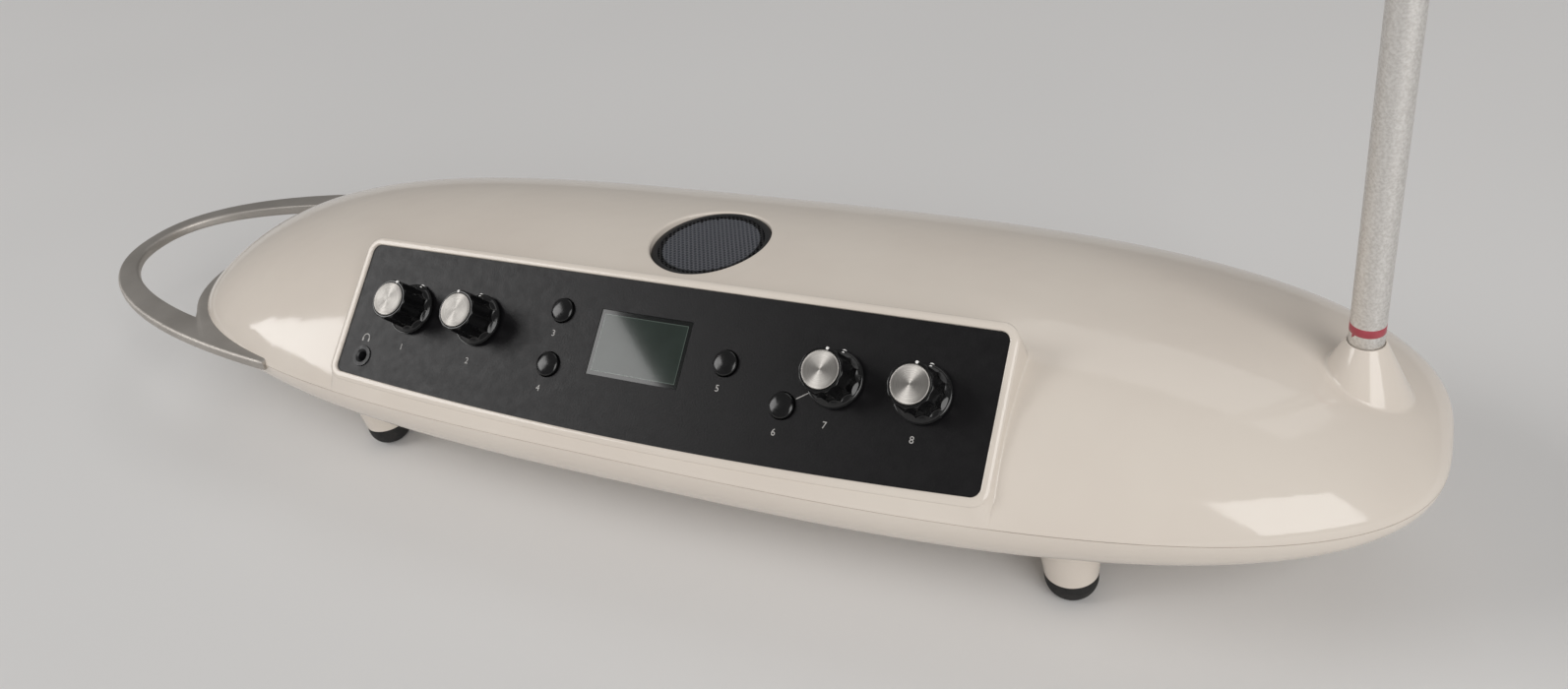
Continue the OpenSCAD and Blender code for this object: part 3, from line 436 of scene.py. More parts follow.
def wallToSurface(top, foot, away, fillet, height, side, skirt=4.0):
    # runs a wall down to the case and rounds it off there; the meeting point is found by halving.
    # side is 1 above the upper shell and -1 below the lower one.
    low, high = np.zeros(len(top)), np.ones(len(top))
    for step in range(32):
        m = (low + high) / 2
        p = top + (foot - top) * m[:, None]
        outside = (p[:, 2] - height(p[:, 0], p[:, 1])) * side > 0
        low, high = np.where(outside, m, low), np.where(outside, high, m)
    meet = top + (foot - top) * low[:, None]
    run = np.linalg.norm(meet - top, axis=1)
    size = np.minimum(fillet, 0.75 * run)
    slope = (foot - top) / np.linalg.norm(foot - top, axis=1)[:, None]

    def laid(d):
        flat = meet[:, :2] + away * np.reshape(d, (-1, 1))
        flat[:, 1] = np.maximum(flat[:, 1], -seamHalf(flat[:, 0]))
        up = height(flat[:, 0], flat[:, 1]) * side + 0.02
        return np.column_stack([flat, np.maximum(up, seamGap) * side])

    start, end = meet - slope * size[:, None], laid(size)
    rows = [start * (1 - t) ** 2 + 2 * t * (1 - t) * meet + end * t * t for t in np.linspace(0, 1, 9)]
    rows += [laid(size + skirt * t) for t in (0.25, 0.5, 0.75, 1)]
    return rows


def well(x, y, radius, edge, floor, height, side, skirt):
    # a round hole sunk into the case: a rounded mouth, then a straight wall down to its floor
    rows = []
    for step in range(9):
        a = math.pi / 2 * step / 8
        px, py = ring(x, y, radius + edge * (1 - math.cos(a)))[:2]
        rows.append(np.column_stack([px, py, height(px, py) - side * (edge * (1 - math.sin(a)) - 0.02)]))
    first = rows[0].copy()
    first[:, 2] = floor
    for t in np.linspace(0.25, 1, 4):
        px, py = ring(x, y, radius + edge + skirt * t)[:2]
        rows.append(np.column_stack([px, py, height(px, py) + 0.02 * side]))
    return [first] + rows


bay = {
    "halfWidth": 73, "above": 13.0, "below": 15.0, "proud": 68.2, "floor": 62.3, "rear": 74.35,
    "cutX": 74.6, "cutY": 40, "cutTop": 14.6, "cutFoot": -16.8,
    # the frame's profile: distance outside the opening, the surface that it keeps to, and a shift in depth
    "frame": ((6.4, "laid", 0.02), (4.6, "laid", 0.02), (3.2, "laid", 0.02), (2.45, "laid", 0.02),
              (2.4, "proud", -0.25), (2.25, "proud", -0.06), (2.1, "proud", 0), (0.5, "proud", 0),
              (0.2, "proud", -0.07), (0.04, "proud", -0.3), (0, "in", 0)),
}


def bayFrame(sign):
    # half of the rear bay's frame: it lies on the shell, turns over its edge and runs in to the rear panel
    high = bay["above"] if sign > 0 else bay["below"]
    rows = []
    for grow, rule, shift in bay["frame"]:
        w, h = bay["halfWidth"] + grow, high + grow
        x = np.concatenate([np.full(20, w), np.linspace(w, -w, 120), np.full(20, -w)])
        z = np.concatenate([np.linspace(seamGap, h, 20), np.full(120, h), np.linspace(h, seamGap, 20)]) * sign
        laid = rearY(x, z)
        y = {"laid": laid, "proud": np.maximum(laid, bay["proud"]), "in": np.full_like(laid, bay["floor"])}
        rows.append(np.column_stack([x, np.minimum(y[rule] + shift, bay["rear"]), z]))
    return rows


def inBay(x, y):
    # true behind the case's middle, within the bay's width
    return (np.abs(x) < bay["cutX"]) & (y > bay["cutY"])


def besideBay(x, y, z):
    # true for every face outside the bay, at any height
    return ~inBay(x, y)


def standRows(x, y, stand, base, height, side, skirt):
    # a turned rim at x, y, whose wall widens on its way to the case and is rounded off there
    rows = []
    for r, z in stand["rim"]:
        px, py = ring(x, y, r)[:2]
        rows.append(np.column_stack([px, py, np.full(len(px), z + base)]))
    px, py, away = ring(x, y, stand["spread"])
    foot = np.column_stack([px, py, np.full(len(px), stand["reach"])])
    return rows + wallToSurface(rows[-1], foot, away, np.full(len(px), stand["fillet"]), height, side, skirt)


# the panel's housing
housing = {
    "halfWidth": 122.1, "halfHeight": 24.25, "bow": 4.1, "corner": 3.0, "draft": 2.6, "backLean": 0.5,
    "backFillet": 3.0, "sideFillet": 0.7, "lowest": 6.7, "tall": 35.4, "cutX": 123.6, "cutY": -33,
    # lip profile: distance outside the panel and height above its face
    "lip": ((0.12, -1.8), (0.12, 0.42), (0.18, 0.6), (0.32, 0.74), (0.55, 0.8), (1.2, 0.81), (1.75, 0.78),
            (1.95, 0.72), (2.45, 0.5), (2.75, 0.3), (2.93, 0.08), (3.0, -0.2)),
}


def panelOutline(grow):
    # the panel's outline grown outwards: straight top and sides, round corners, a bowed lower edge
    w, h, r = housing["halfWidth"] + grow, housing["halfHeight"] + grow, max(0.5, housing["corner"] + grow)
    arc = np.radians(np.linspace(0, 90, 19))

    def corner(x, y, turn):
        return np.stack([x + r * np.cos(arc + turn), y + r * np.sin(arc + turn)], -1)

    def line(a, b, count):
        return np.linspace(a, b, count + 2)[1:-1]

    x = np.linspace(r - w, w - r, 112)[1:-1]
    lower = np.stack([x, -h - housing["bow"] * ((1 - (x / w) ** 2) - (1 - ((w - r) / w) ** 2))], -1)
    return np.concatenate([
        corner(w - r, h - r, 0), line((w - r, h), (r - w, h), 90), corner(r - w, h - r, np.pi / 2),
        line((-w, h - r), (-w, r - h), 24), corner(r - w, r - h, np.pi), lower,
        corner(w - r, r - h, 1.5 * np.pi), line((w, r - h), (w, h - r), 24),
    ])


def housingRows():
    # the lip, then a wall from it down to the case: it leans in at the back, is rounded into the dome there
    # and at the sides, and runs straight to the seam where the outline faces the player
    rows = []
    for grow, n in housing["lip"]:
        flat = panelOutline(grow)
        rows.append(onPanel(flat[:, 0], flat[:, 1], n))
    top = rows[-1]
    away = panelOutline(4.0) - panelOutline(3.0)
    away = away / np.linalg.norm(away, axis=1)[:, None]
    down = np.clip(-away[:, 1], 0, 1)
    front = np.clip((down - 0.3) / 0.6, 0, 1)
    front = front * front * (3 - 2 * front)
    lean = np.clip((top[:, 2] - housing["lowest"]) / housing["tall"], 0, 1) * housing["backLean"] * top[:, 2]
    rim = housing["halfWidth"] + 3
    footX = top[:, 0] * (rim + housing["draft"]) / rim
    footY = (1 - front) * (top[:, 1] + lean) - front * seamHalf(footX)
    foot = np.column_stack([footX, footY, np.full(len(top), seamGap)])
    up = np.clip(away[:, 1], 0, 1)
    middle = np.clip((housing["halfWidth"] - np.abs(top[:, 0])) / 30, 0, 1)
    fillet = (housing["backFillet"] * up**2 * middle + housing["sideFillet"]) * np.clip(1 - down / 0.3, 0, 1)
    rest = wallToSurface(top, foot, away, fillet, crownZ, 1, 1.6)
    steps = np.concatenate([np.linspace(0.1, 0.9, len(rest) - 4), np.ones(4)])
    straight = (down > 0.3)[:, None]
    return rows + [np.where(straight, top + (foot - top) * t, row) for row, t in zip(rest, steps)]


def shellRim(z):
    # the shell's edge at the seam: turned inwards, so that the two shells meet in a fine dark line
    x = stations()
    line = np.concatenate([np.stack([x, -seamHalf(x)], -1), np.stack([x, seamHalf(x)], -1)[-2:0:-1]])
    return [np.column_stack([line * k, np.full(len(line), z)]) for k in (1.0, 0.985)]


def inHousing(x, y):
    # true under the housing, where the dome is left out
    return (np.abs(x) < housing["cutX"]) & (y < housing["cutY"])


# the cone that carries the rod, with a rolled upper edge round its dark groove: radius and height
cone = {
    "x": 213.8, "top": 31.0, "spread": 14.3, "reach": 12.0, "fillet": 0.9,
    "rim": ((4.88, -5.0), (4.88, -0.3), (4.94, -0.1), (5.04, -0.02), (5.2, 0), (5.34, -0.06), (5.45, -0.2)),
}
# the round mouth in the dome that the speaker's mesh lies in
mouth = {"y": 7.1, "radius": 21.95, "edge": 0.9, "floor": 30.6, "skirt": 5.5, "cut": 25.5}


def makeCaseTop():
    # a grid of sections, each running over the crest as a quarter superellipse in front and one behind,
    # with holes where the housing, the speaker's mouth and the bay's frame are set in, and the cone laid over it
    x = stations()
    crest, high = crestOf(x)
    half = seamHalf(x)
    a = np.linspace(0, np.pi / 2, 52)[:, None]
    frontPower, frontFall = frontBow(x)
    front, frontUp = np.cos(a) ** (2 / frontPower), np.sin(a) ** (2 / frontFall)
    back = a[-2::-1] + 0 * x
    rear, rearUp = np.cos(back) ** (2 / caseForm["rear"]), np.sin(back) ** (2 / caseForm["rear"])
    y = np.concatenate([crest - (half + crest) * front, crest + (half - crest) * rear])
    z = np.maximum(np.concatenate([frontUp, rearUp]) * high, seamGap)
    crown = np.stack([np.broadcast_to(x, y.shape), y, z], -1)

    def keep(px, py, pz):
        inMouth = np.hypot(px, py - mouth["y"]) < mouth["cut"]
        return ~(inHousing(px, py) | (inBay(px, py) & (pz < bay["cutTop"])) | inMouth)

    sunk = well(0, mouth["y"], mouth["radius"], mouth["edge"], mouth["floor"], crownZ, 1, mouth["skirt"])
    parts = [
        patch(crown, (0, 0, 0), 1, False, keep),
        patch(shellRim(seamGap), (0, 0, 50), 1, True, besideBay),
        patch(housingRows(), (0, -40, 15), 1),
        patch(sunk, (0, mouth["y"], 20), 1),
        patch(bayFrame(1), (0, 0, 0), 1, False),
        patch(standRows(cone["x"], 0, cone, cone["top"], crownZ, 1, 2.0), (cone["x"], 0, 10), 1),
    ]
    piece = meshFrom("case_top", parts)
    return finish(piece, "case", "shell", finishes["shell"], "top_shell")


legs = {
    "places": [(x, y) for x in (-140, 140) for y in (-41, 41)],
    "tip": 8.5, "spread": 11.5, "reach": 33.9 - toTable[2], "fillet": 3.0,
    "rim": ((5.0, 0), (8.0, 0), (8.3, 0.08), (8.46, 0.25), (8.52, 0.5)),
}
insert = {"radius": 11.55, "edge": 0.5, "floor": -20.0, "skirt": 8.0, "cut": 14.5}
screwWells = {
    "places": [(150, 22), (150, -22), (-150, 22), (-150, -22), (95, 48), (-95, 48),
               (-185, 0), (-180, 38), (-180, -38)],
    "radius": 3.2, "edge": 0.4, "floor": -9.5, "skirt": 5.0, "cut": 6.0,
}


def makeCaseBottom():
    # a grid of sections, each spaced by the cosine of an angle from front to back and laid on the belly's bow,
    # with holes where the bay's frame, the stand's insert and the screw wells are set in, and four legs
    x = stations()
    a = np.linspace(0, np.pi, 110)
    y = -np.cos(a)[:, None] * seamHalf(x)
    z = np.minimum(bellyZ(x, y), -seamGap)
    belly = np.stack([np.broadcast_to(x, y.shape), y, z], -1)

    def keep(px, py, pz):
        holes = inBay(px, py) & (pz > bay["cutFoot"])
        holes |= np.hypot(px, py) < insert["cut"]
        for sx, sy in screwWells["places"]:
            holes |= np.hypot(px - sx, py - sy) < screwWells["cut"]
        return ~holes

    def sunk(sx, sy, hole):
        return well(sx, sy, hole["radius"], hole["edge"], hole["floor"], bellyZ, -1, hole["skirt"])

    parts = [
        patch(belly, (0, 0, 0), 1, False, keep),
        patch(shellRim(-seamGap), (0, 0, -50), 1, True, besideBay),
        patch(bayFrame(-1), (0, 0, 0), 1, False),
        patch(sunk(0, 0, insert), (0, 0, -25), 1),
    ]
    parts += [patch(sunk(sx, sy, screwWells), (sx, sy, -10), 1) for sx, sy in screwWells["places"]]
    for lx, ly in legs["places"]:
        rows = standRows(lx, ly, legs, legs["tip"] - toTable[2], bellyZ, -1, 4.0)
        parts.append(patch(rows, (lx, ly, -30), 1))
    piece = meshFrom("case_bottom", parts)
    return finish(piece, "case", "shell", finishes["shell"], "bottom_shell")


makeCaseTop()
makeCaseBottom()
print("case made")

# turned pieces


def lathe(profile, count, scallop=None):
    # turns a profile of radius and height about its axis; scallop may change the radius with the turn
    a = np.linspace(0, 2 * np.pi, count, endpoint=False)
    r, z = np.array(profile, float).T
    radius = np.broadcast_to(r[:, None], (len(r), count)).copy()
    if scallop is not None:
        radius = scallop(radius, z[:, None], a)
    return np.stack([radius * np.cos(a), radius * np.sin(a), np.broadcast_to(z[:, None], radius.shape)], -1)


def upright(rows, x, y, z):
    # a shape turned about z, moved to x, y, z
    return rows + np.array([x, y, z])


def tilted(rows, u, v):
    # a shape turned about z now stands on the panel at u, v
    return onPanel(rows[..., 0] + u, rows[..., 1] + v, rows[..., 2])


rubberFoot = {"radius": 8.4, "flat": 2.94, "height": 8.5, "bowl": 0.8}


def makeFeet():
    # rubber bowls: a quarter of an ellipse from a small flat up to the leg's width
    r, flat, high = rubberFoot["radius"], rubberFoot["flat"], rubberFoot["height"]
    bowl = high * rubberFoot["bowl"]
    turns = np.linspace(0, math.pi / 2, 25)
    profile = [(0, 0)] + [(flat + (r - flat) * math.sin(t), bowl * (1 - math.cos(t))) for t in turns]
    profile += [(r, high - 0.25), (r - 0.06, high - 0.08), (r - 0.25, high), (0, high)]
    bowls = lathe(profile, 72)
    table = -toTable[2]
    parts = [patch(upright(bowls, x, y, table), (x, y, 4 + table)) for x, y in legs["places"]]
    return finish(meshFrom("feet", parts), "case", "leg_rubber", finishes["leg_rubber"], "leg_tips")


antenna = {
    "x": cone["x"], "low": 29.35, "radius": 4.7625, "length": 365.0, "round": 0.9,
    "stub": 5.4, "band": 2.6, "groove": 0.3, "proud": 0.05, "tail": (219, 231), "tailFall": 1.3,
}


def makeAntenna():
    # the rod with its rounded end, and the crimson ring near its foot, whose tape ends in a short tail
    x, low, r, s, b = (antenna[key] for key in ("x", "low", "radius", "stub", "band"))
    g, e = antenna["groove"], antenna["round"]
    end = low + antenna["length"]
    arc = np.linspace(0, math.pi / 2, 8)
    profile = [(0, low), (r - 0.3, low), (r - 0.08, low + 0.08), (r, low + 0.3), (r, low + s)]
    profile += [(r - g, low + s), (r - g, low + s + b), (r, low + s + b)]
    profile += [(r, z) for z in np.linspace(low + s + b + 1, end - e, 24)]
    profile += [(r - e + e * math.cos(t), end - e + e * math.sin(t)) for t in arc] + [(0, end)]
    rod = meshFrom("antenna_rod_tube", [patch(upright(lathe(profile, 96), x, 0, 0), (x, 0, 200))])
    finish(rod, "antenna", "rod", finishes["rod"], "antenna_rod")
    o = r + antenna["proud"]
    band = [(r - g + 0.01, low + s), (o - 0.05, low + s), (o, low + s + 0.08)]
    band += [(o, low + s + b - 0.08), (o - 0.05, low + s + b), (r - g + 0.01, low + s + b)]
    parts = [patch(upright(lathe(band, 96), x, 0, 0), (x, 0, low + s + b / 2))]
    tail = np.radians(np.linspace(*antenna["tail"], 10))
    fall, taper = antenna["tailFall"], np.linspace(1, 0.15, 10)
    rows = [np.stack([x + k * np.cos(tail), k * np.sin(tail), low + s + z * taper], -1)
            for k, z in ((o - 0.02, 0.1), (o, 0.0), (o, 0.1 - fall), (o - 0.02, -fall))]
    parts.append(patch(rows, (x, 0, low + s), 1, False))
    finish(meshFrom("antenna_ring", parts), "antenna", "band", finishes["band"], "antenna_band")


makeFeet()
makeAntenna()
print("legs and antenna made")

# knobs and buttons
knobs = {
    "names": ("volume", "correction", "amount", "preset"), "x": (-95.2, -64.9, 72.0, 100.0), "v": 2.3,
    "pointer": (77, 100, 84, 84), "skirt": 9.15, "grip": 7.2, "base": 0.6, "top": 13.8,
    "flutes": 12, "fluteRadius": 4.0, "fluteDepth": 0.45,
    # the spun cap's profile, and the white dots, the pointer's on the rim and two on the skirt that are partly
    # painted highlight: how far out, how high and how large
    "cap": ((0, 14.3), (0.4, 14.3), (1, 14.3), (2, 14.3), (3, 14.3), (4, 14.3), (5, 14.3), (5.6, 14.3),
            (5.82, 14.27), (5.95, 14.18), (6, 14.05), (6, 13.8)),
    "dots": ((6.64, 13.8, 0.5), (8.2, 2.0, 0.5), (8.62, 1.45, 0.9)),
}


def fluted(radius, z, a):
    # twelve shallow round flutes, eased into the ribs between them by a soft minimum, and into the skirt
    step = 2 * np.pi / knobs["flutes"]
    turn = (a % step) - step / 2
    size = knobs["fluteRadius"]
    far = knobs["grip"] + size - knobs["fluteDepth"]
    reach = far * np.cos(turn) - np.sqrt(np.maximum(size**2 - (far * np.sin(turn)) ** 2, 0))
    reach = np.where(np.abs(far * np.sin(turn)) < size - 0.01, reach, 20.0)
    low = np.clip((z - 1.9) / 0.7, 0, 1)
    reach = reach + (1 - low * low * (3 - 2 * low)) * 6.0
    soft = 0.1
    cut = -soft * np.log(np.exp(-(radius - 9) / soft) + np.exp(-(reach - 9) / soft)) + 9
    cut = np.minimum(cut, radius)
    blend = (np.asarray(radius) > 6.3) * 1.0
    return radius * (1 - blend) + cut * blend


def makeKnob(index):
    # a turned body: a skirt, a quarter ellipse up to the fluted grip, a straight taper and a rounded rim
    name, u, v = knobs["names"][index], knobs["x"][index], knobs["v"]
    grip, skirt, base, top = (knobs[key] for key in ("grip", "skirt", "base", "top"))
    sweep = np.linspace(0, math.pi / 2, 14)
    wide, shoulder, rim = grip + 0.3, base + 4.6, top - 0.6
    profile = [(5.0, base + 1.2), (5.0, base), (skirt - 0.4, base), (skirt - 0.12, base + 0.12)]
    profile += [(skirt, base + 0.4), (skirt, base + 0.85)]
    profile += [(wide + (skirt - wide) * (1 - math.sin(t)), base + 1 + 3.6 * (1 - math.cos(t))) for t in sweep]
    profile += [(wide - 0.3 * t, shoulder + (rim - shoulder) * t) for t in np.linspace(0.12, 1, 7)]
    over = np.linspace(0.15, math.pi / 2, 7)
    profile += [(grip - 0.6 + 0.6 * math.cos(t), rim + 0.6 * math.sin(t)) for t in over]
    profile += [(6.25, top), (6.12, top - 0.05), (6.06, top - 0.2), (6.06, top - 0.5), (0, top - 0.5)]
    rows = tilted(lathe(profile, 360, fluted), u, v)
    body = meshFrom(name + "_knob_body", [patch(rows, onPanel(u, v, 7))], sharp=50)
    finish(body, name, "knob", finishes["knob"], name + "_knob")

    # the spun cap: a flat face with a cut edge, and its own map of turn and radius
    a = np.linspace(0, 2 * np.pi, 145)
    r, z = np.array(knobs["cap"], float).T[:, :, None]
    disc = np.stack(np.broadcast_arrays(r * np.cos(a), r * np.sin(a), z), -1)
    points, faces = patch(tilted(disc, u, v), onPanel(u, v, 0), 1, False)
    uv = np.stack(np.broadcast_arrays(a / (2 * np.pi), r / 6), -1).reshape(-1, 2)
    cap = meshFrom(name + "_knob_disc", [(points, faces)], uv=uv, weld=0.002)
    finish(cap, name, "knob_cap", finishes["knob_cap"], name + "_knob_cap")

    # the pointer's white dot on the upper rim, and two white dots on the skirt below it that are partly painted
    # highlight: bright spots drawn as colour
    turn = math.radians(knobs["pointer"][index])
    dots = []
    for far, n, size in knobs["dots"]:
        bead = [(0.0, 0.12), (size * 0.6, 0.11), (size * 0.9, 0.06), (size, -0.05), (size, -0.5)]
        x, y = far * math.cos(turn), far * math.sin(turn)
        dot = upright(lathe(bead, 20), x, y, n)
        dots.append(patch(tilted(dot, u, v), onPanel(u + x, v + y, n - 1)))
    finish(meshFrom(name + "_pointer_and_highlights", dots), name, "knob", finishes["pointer"])


buttons = {
    "names": ("scale", "root", "setup", "effect"), "x": (-31.8, -31.8, 33.8, 56.2), "v": (10.4, -8.5, 1.7, -8.3),
    "radius": 4.2, "rise": 1.9, "edge": 0.8, "stem": 1.8, "flange": 1.0,
}


def makeButton(index):
    # a turned cap: a stem, a flange behind the panel, a straight side and a quarter ellipse as its dome
    name, u, v = (buttons[key][index] for key in ("names", "x", "v"))
    r, rise, edge, stem = (buttons[key] for key in ("radius", "rise", "edge", "stem"))
    wide = r + buttons["flange"]
    turns = np.linspace(0.02, math.pi / 2, 18)
    profile = [(0, -7.6), (stem, -7.6), (stem, -3.3), (wide, -3.3), (wide, -2.3), (r, -2.3), (r, edge - 0.05)]
    profile += [(r * math.cos(t), edge + (rise - edge) * math.sin(t)) for t in turns]
    rows = tilted(lathe(profile, 72), u, v)
    piece = meshFrom(name + "_button_cap", [patch(rows, onPanel(u, v, -1))])
    finish(piece, name, "button", finishes["button"], name + "_button")


for index in range(4):
    makeKnob(index)
    makeButton(index)
print("knobs and buttons made")

# volume loop
loop = {
    "reach": 307.7, "halfWidth": 68.0, "thick": 4.4, "tipBand": 8.0, "sideBand": 12.4, "land": 3.8,
    "centre": -114.9, "power": 2.246, "end": -165.0, "hand": -283.0, "edge": 1.5, "count": 640,
}


def loopGauge(x, y, tip, side):
    # below zero inside a superellipse whose tip and sides lie this far within the loop's outline
    power = loop["power"]
    across = np.abs(x - loop["centre"]) / (loop["reach"] + loop["centre"] - tip)
    return across**power + (np.abs(y) / (loop["halfWidth"] - side)) ** power - 1


def handGauge(x, y):
    # below zero in the hand opening: inside the band and outside the case, by a soft maximum of the two
    p, land = caseForm["plan"], loop["land"]
    g = (np.abs(x) / (caseForm["halfLength"] + land)) ** p + (np.abs(y) / (caseForm["halfDepth"] + land)) ** p
    a, b = loopGauge(x, y, loop["tipBand"], loop["sideBand"]), 4.5 * (1 - g ** (1 / p))
    return (a + b + np.sqrt((a - b) ** 2 + 0.02**2)) / 2


def outlineOf(gauge, far, grow, end=None):
    # distance to an outline in every direction from the middle of the hand opening, found by halving
    a = np.linspace(0, 2 * np.pi, loop["count"], endpoint=False)
    low, high = np.zeros(len(a)), np.full(len(a), float(far))
    for step in range(40):
        m = (low + high) / 2
        inside = gauge(loop["hand"] + m * np.cos(a), m * np.sin(a)) < 0
        low, high = np.where(inside, m, low), np.where(inside, high, m)
    r = low + grow
    if end is not None:
        c = np.cos(a)
        r = np.minimum(r, np.where(c > 1e-6, (end - loop["hand"]) / np.maximum(c, 1e-6), 1e4))
    return np.stack([loop["hand"] + r * np.cos(a), r * np.sin(a)], -1)


def makeLoop():
    # a flat plate cut from sheet, whose edges are rolled over all round
    t, e = loop["thick"] / 2, loop["edge"]
    turns = np.linspace(0, math.pi / 2, 7)
    rows = []
    for s, order in ((-1, turns[::-1]), (1, turns)):
        for f in order:
            inset, z = e * (1 - math.cos(f)), s * (t - e + e * math.sin(f))
            flat = outlineOf(lambda x, y: loopGauge(x, y, inset, inset), 400, 0, loop["end"] - inset)
            rows.append(np.column_stack([flat, np.full(len(flat), z)]))
    inner = outlineOf(handGauge, 120, 0)
    middle = np.array([loop["hand"], 0.0])
    toward = (inner - middle) / np.linalg.norm(inner - middle, axis=1)[:, None]
    for s, order in ((1, turns[::-1]), (-1, turns)):
        for f in order:
            inset, z = e * (1 - math.cos(f)), s * (t - e + e * math.sin(f))
            rows.append(np.column_stack([inner + toward * inset, np.full(len(inner), z)]))
    rows.append(rows[0])
    points, faces = patch(rows, (0, 0, 0))
    piece = meshFrom("volume_loop_plate", [(points, faces)])
    work = bmesh.new()
    work.from_mesh(piece.data)
    bmesh.ops.recalc_face_normals(work, faces=work.faces)
    work.to_mesh(piece.data)
    work.free()
    return finish(piece, "case", "loop", finishes["loop"], "volume_loop")


makeLoop()
print("loop made")

# speaker grille
grille = {"radius": 21.65, "top": 32.1, "pitch": 1.7, "wire": 0.5, "thick": 0.45, "ink": 17.6}


def printedMesh():
    # steel mesh under black enamel, with a plain disc of grey ink over its middle
    material = finishedSurface("printed steel mesh", looks["grille_steel"])
    tree = material.node_tree
    bsdf = next(n for n in tree.nodes if n.bl_idname == "ShaderNodeBsdfPrincipled")
    where = addNode(tree, "TexCoord").outputs["Object"]
    middle = tuple(place((0, mouth["y"], grille["top"])))
    far = addNode(tree, "VectorMath", {"operation": "DISTANCE", 1: middle}, {0: where}).outputs["Value"]
    enamel = bsdf.inputs["Base Color"].links[0].from_socket
    inked = between(tree, far, grille["ink"] * 0.001, (grille["ink"] + 0.2) * 0.001, 1.0, 0.0)
    tree.links.new(mixColour(tree, inked, enamel, "#5b5d63"), bsdf.inputs["Base Color"])
    return material


def makeGrille():
    # expanded mesh: each cell is a hexagonal ring that shares its outline with its neighbours.
    # The real mesh is near 1 mm; its cells are drawn 1.7 mm apart so that they show.
    p = grille["pitch"]
    rows = int(grille["radius"] / (p * math.sin(math.pi / 3))) + 1
    i, j = np.meshgrid(np.arange(-rows, rows + 1), np.arange(-rows - 2, rows + 3), indexing="ij")
    centre = np.stack([(j + (np.abs(i) % 2) / 2) * p, i * p * math.sin(math.pi / 3)], -1).reshape(-1, 2)
    centre = centre[np.hypot(centre[:, 0], centre[:, 1]) < grille["radius"] - 1.0]
    a = np.radians(np.arange(0, 360, 60) + 30)
    corner = np.stack([np.cos(a), np.sin(a)], -1)
    outer = p / 2 / math.cos(math.pi / 6)
    inner = outer - grille["wire"] / 2 / math.cos(math.pi / 6)
    z = grille["top"] - 0.15
    cells = []
    for size, level in ((outer, z), (inner + 0.03, z + 0.1), (inner, z - 0.05), (inner, z - grille["thick"])):
        flat = centre[:, None, :] + corner * size
        cells.append(np.concatenate([flat, np.full(flat.shape[:2] + (1,), level)], -1))
    grid = np.stack(cells, 1)  # cell, ring, corner
    face = gridFaces(4, 6, True)
    faces = (face[None] + (np.arange(len(centre)) * 24)[:, None, None]).reshape(-1, 4)
    points = grid.reshape(-1, 3) + np.array([0, mouth["y"], 0])
    q = points[faces[:6]]
    if np.cross(q[0, 2] - q[0, 0], q[0, 3] - q[0, 1])[2] < 0:
        faces = faces[:, ::-1]
    r, top = grille["radius"], grille["top"]
    hoop = [(r - 2.2, top - 0.7), (r - 2.2, top - 0.05), (r - 2.1, top), (r - 0.4, top)]
    hoop += [(r - 0.1, top - 0.12), (r, top - 0.4), (r, top - 1)]
    rim = patch(upright(lathe(hoop, 128), 0, mouth["y"], 0), (0, mouth["y"], top - 3))
    mesh = meshFrom("grille_mesh", [(points, faces), rim])
    return finish(mesh, "case", "grille_steel", printedMesh(), "speaker_grille")


makeGrille()
print("grille made")

# legends on the panel
legends = {
    "size": 3.1, "height": 0.03, "sign": (-112.6, -10.9), "band": (1.25, 1.55), "line": (60.3, -5.5, 4.3, 2.9),
    "places": (("1", -95.6, -11.8), ("2", -65.5, -12.4), ("3", -33.2, 2.2), ("4", -33.3, -17.0),
               ("5", 32.9, -6.6), ("6", 55.4, -16.8), ("7", 71.3, -11.9), ("8", 99.2, -11.5)),
}


def makeLegends():
    # plain numbers under the controls, a plain headphone sign over the jack and a line from button to knob
    parts = []
    (signU, signV), high = legends["sign"], legends["height"]
    below = onPanel(signU, -10, -5)
    bend = np.linspace(0, math.pi, 25)
    rows = [onPanel(signU + k * np.cos(bend), signV + k * 1.15 * np.sin(bend), high) for k in legends["band"]]
    parts.append(patch(rows, below, 1, False))
    for s in (-1, 1):
        y = np.linspace(-1.1, 0.15, 6)
        rows = [onPanel(signU + s * (1.05 + k) + 0 * y, signV + y, high) for k in (0, 0.65)]
        parts.append(patch(rows, below, 1, False))
    t = np.linspace(0, 1, 4)
    u, v, along, up = legends["line"]
    rows = [onPanel(u + along * t + k * 0.45, v + up * t - k * 0.7, high) for k in (-0.2, 0.2)]
    parts.append(patch(rows, onPanel(60, -5, -5), 1, False))
    signs = meshFrom("panel_signs", parts)
    finish(signs, "case", "panel", finishes["ink"])
    for text, u, v in legends["places"]:
        curve = bpy.data.curves.new("digit" + text, "FONT")
        curve.body, curve.size, curve.align_x, curve.align_y = text, legends["size"], "CENTER", "CENTER"
        maker = bpy.data.objects.new("digit" + text, curve)
        scene.collection.objects.link(maker)
        bpy.context.view_layer.update()
        mesh = bpy.data.meshes.new_from_object(maker.evaluated_get(bpy.context.evaluated_depsgraph_get()))
        bpy.data.objects.remove(maker)
        co = np.zeros(len(mesh.vertices) * 3)
        mesh.vertices.foreach_get("co", co)
        co = co.reshape(-1, 3)
        mesh.vertices.foreach_set("co", place(onPanel(u + co[:, 0], v + co[:, 1], legends["height"])).ravel())
        mesh.update()
        digit = bpy.data.objects.new("digit_" + text, mesh)
        scene.collection.objects.link(digit)
        finish(digit, "case", "panel", finishes["ink"])


makeLegends()
print("legends made")

# floor, light and camera
studio = {"floor": ("#e7e6e5", "#e4e3e2"), "sky": "#eeedec", "skyLevel": 0.27, "seenLevel": 0.92}


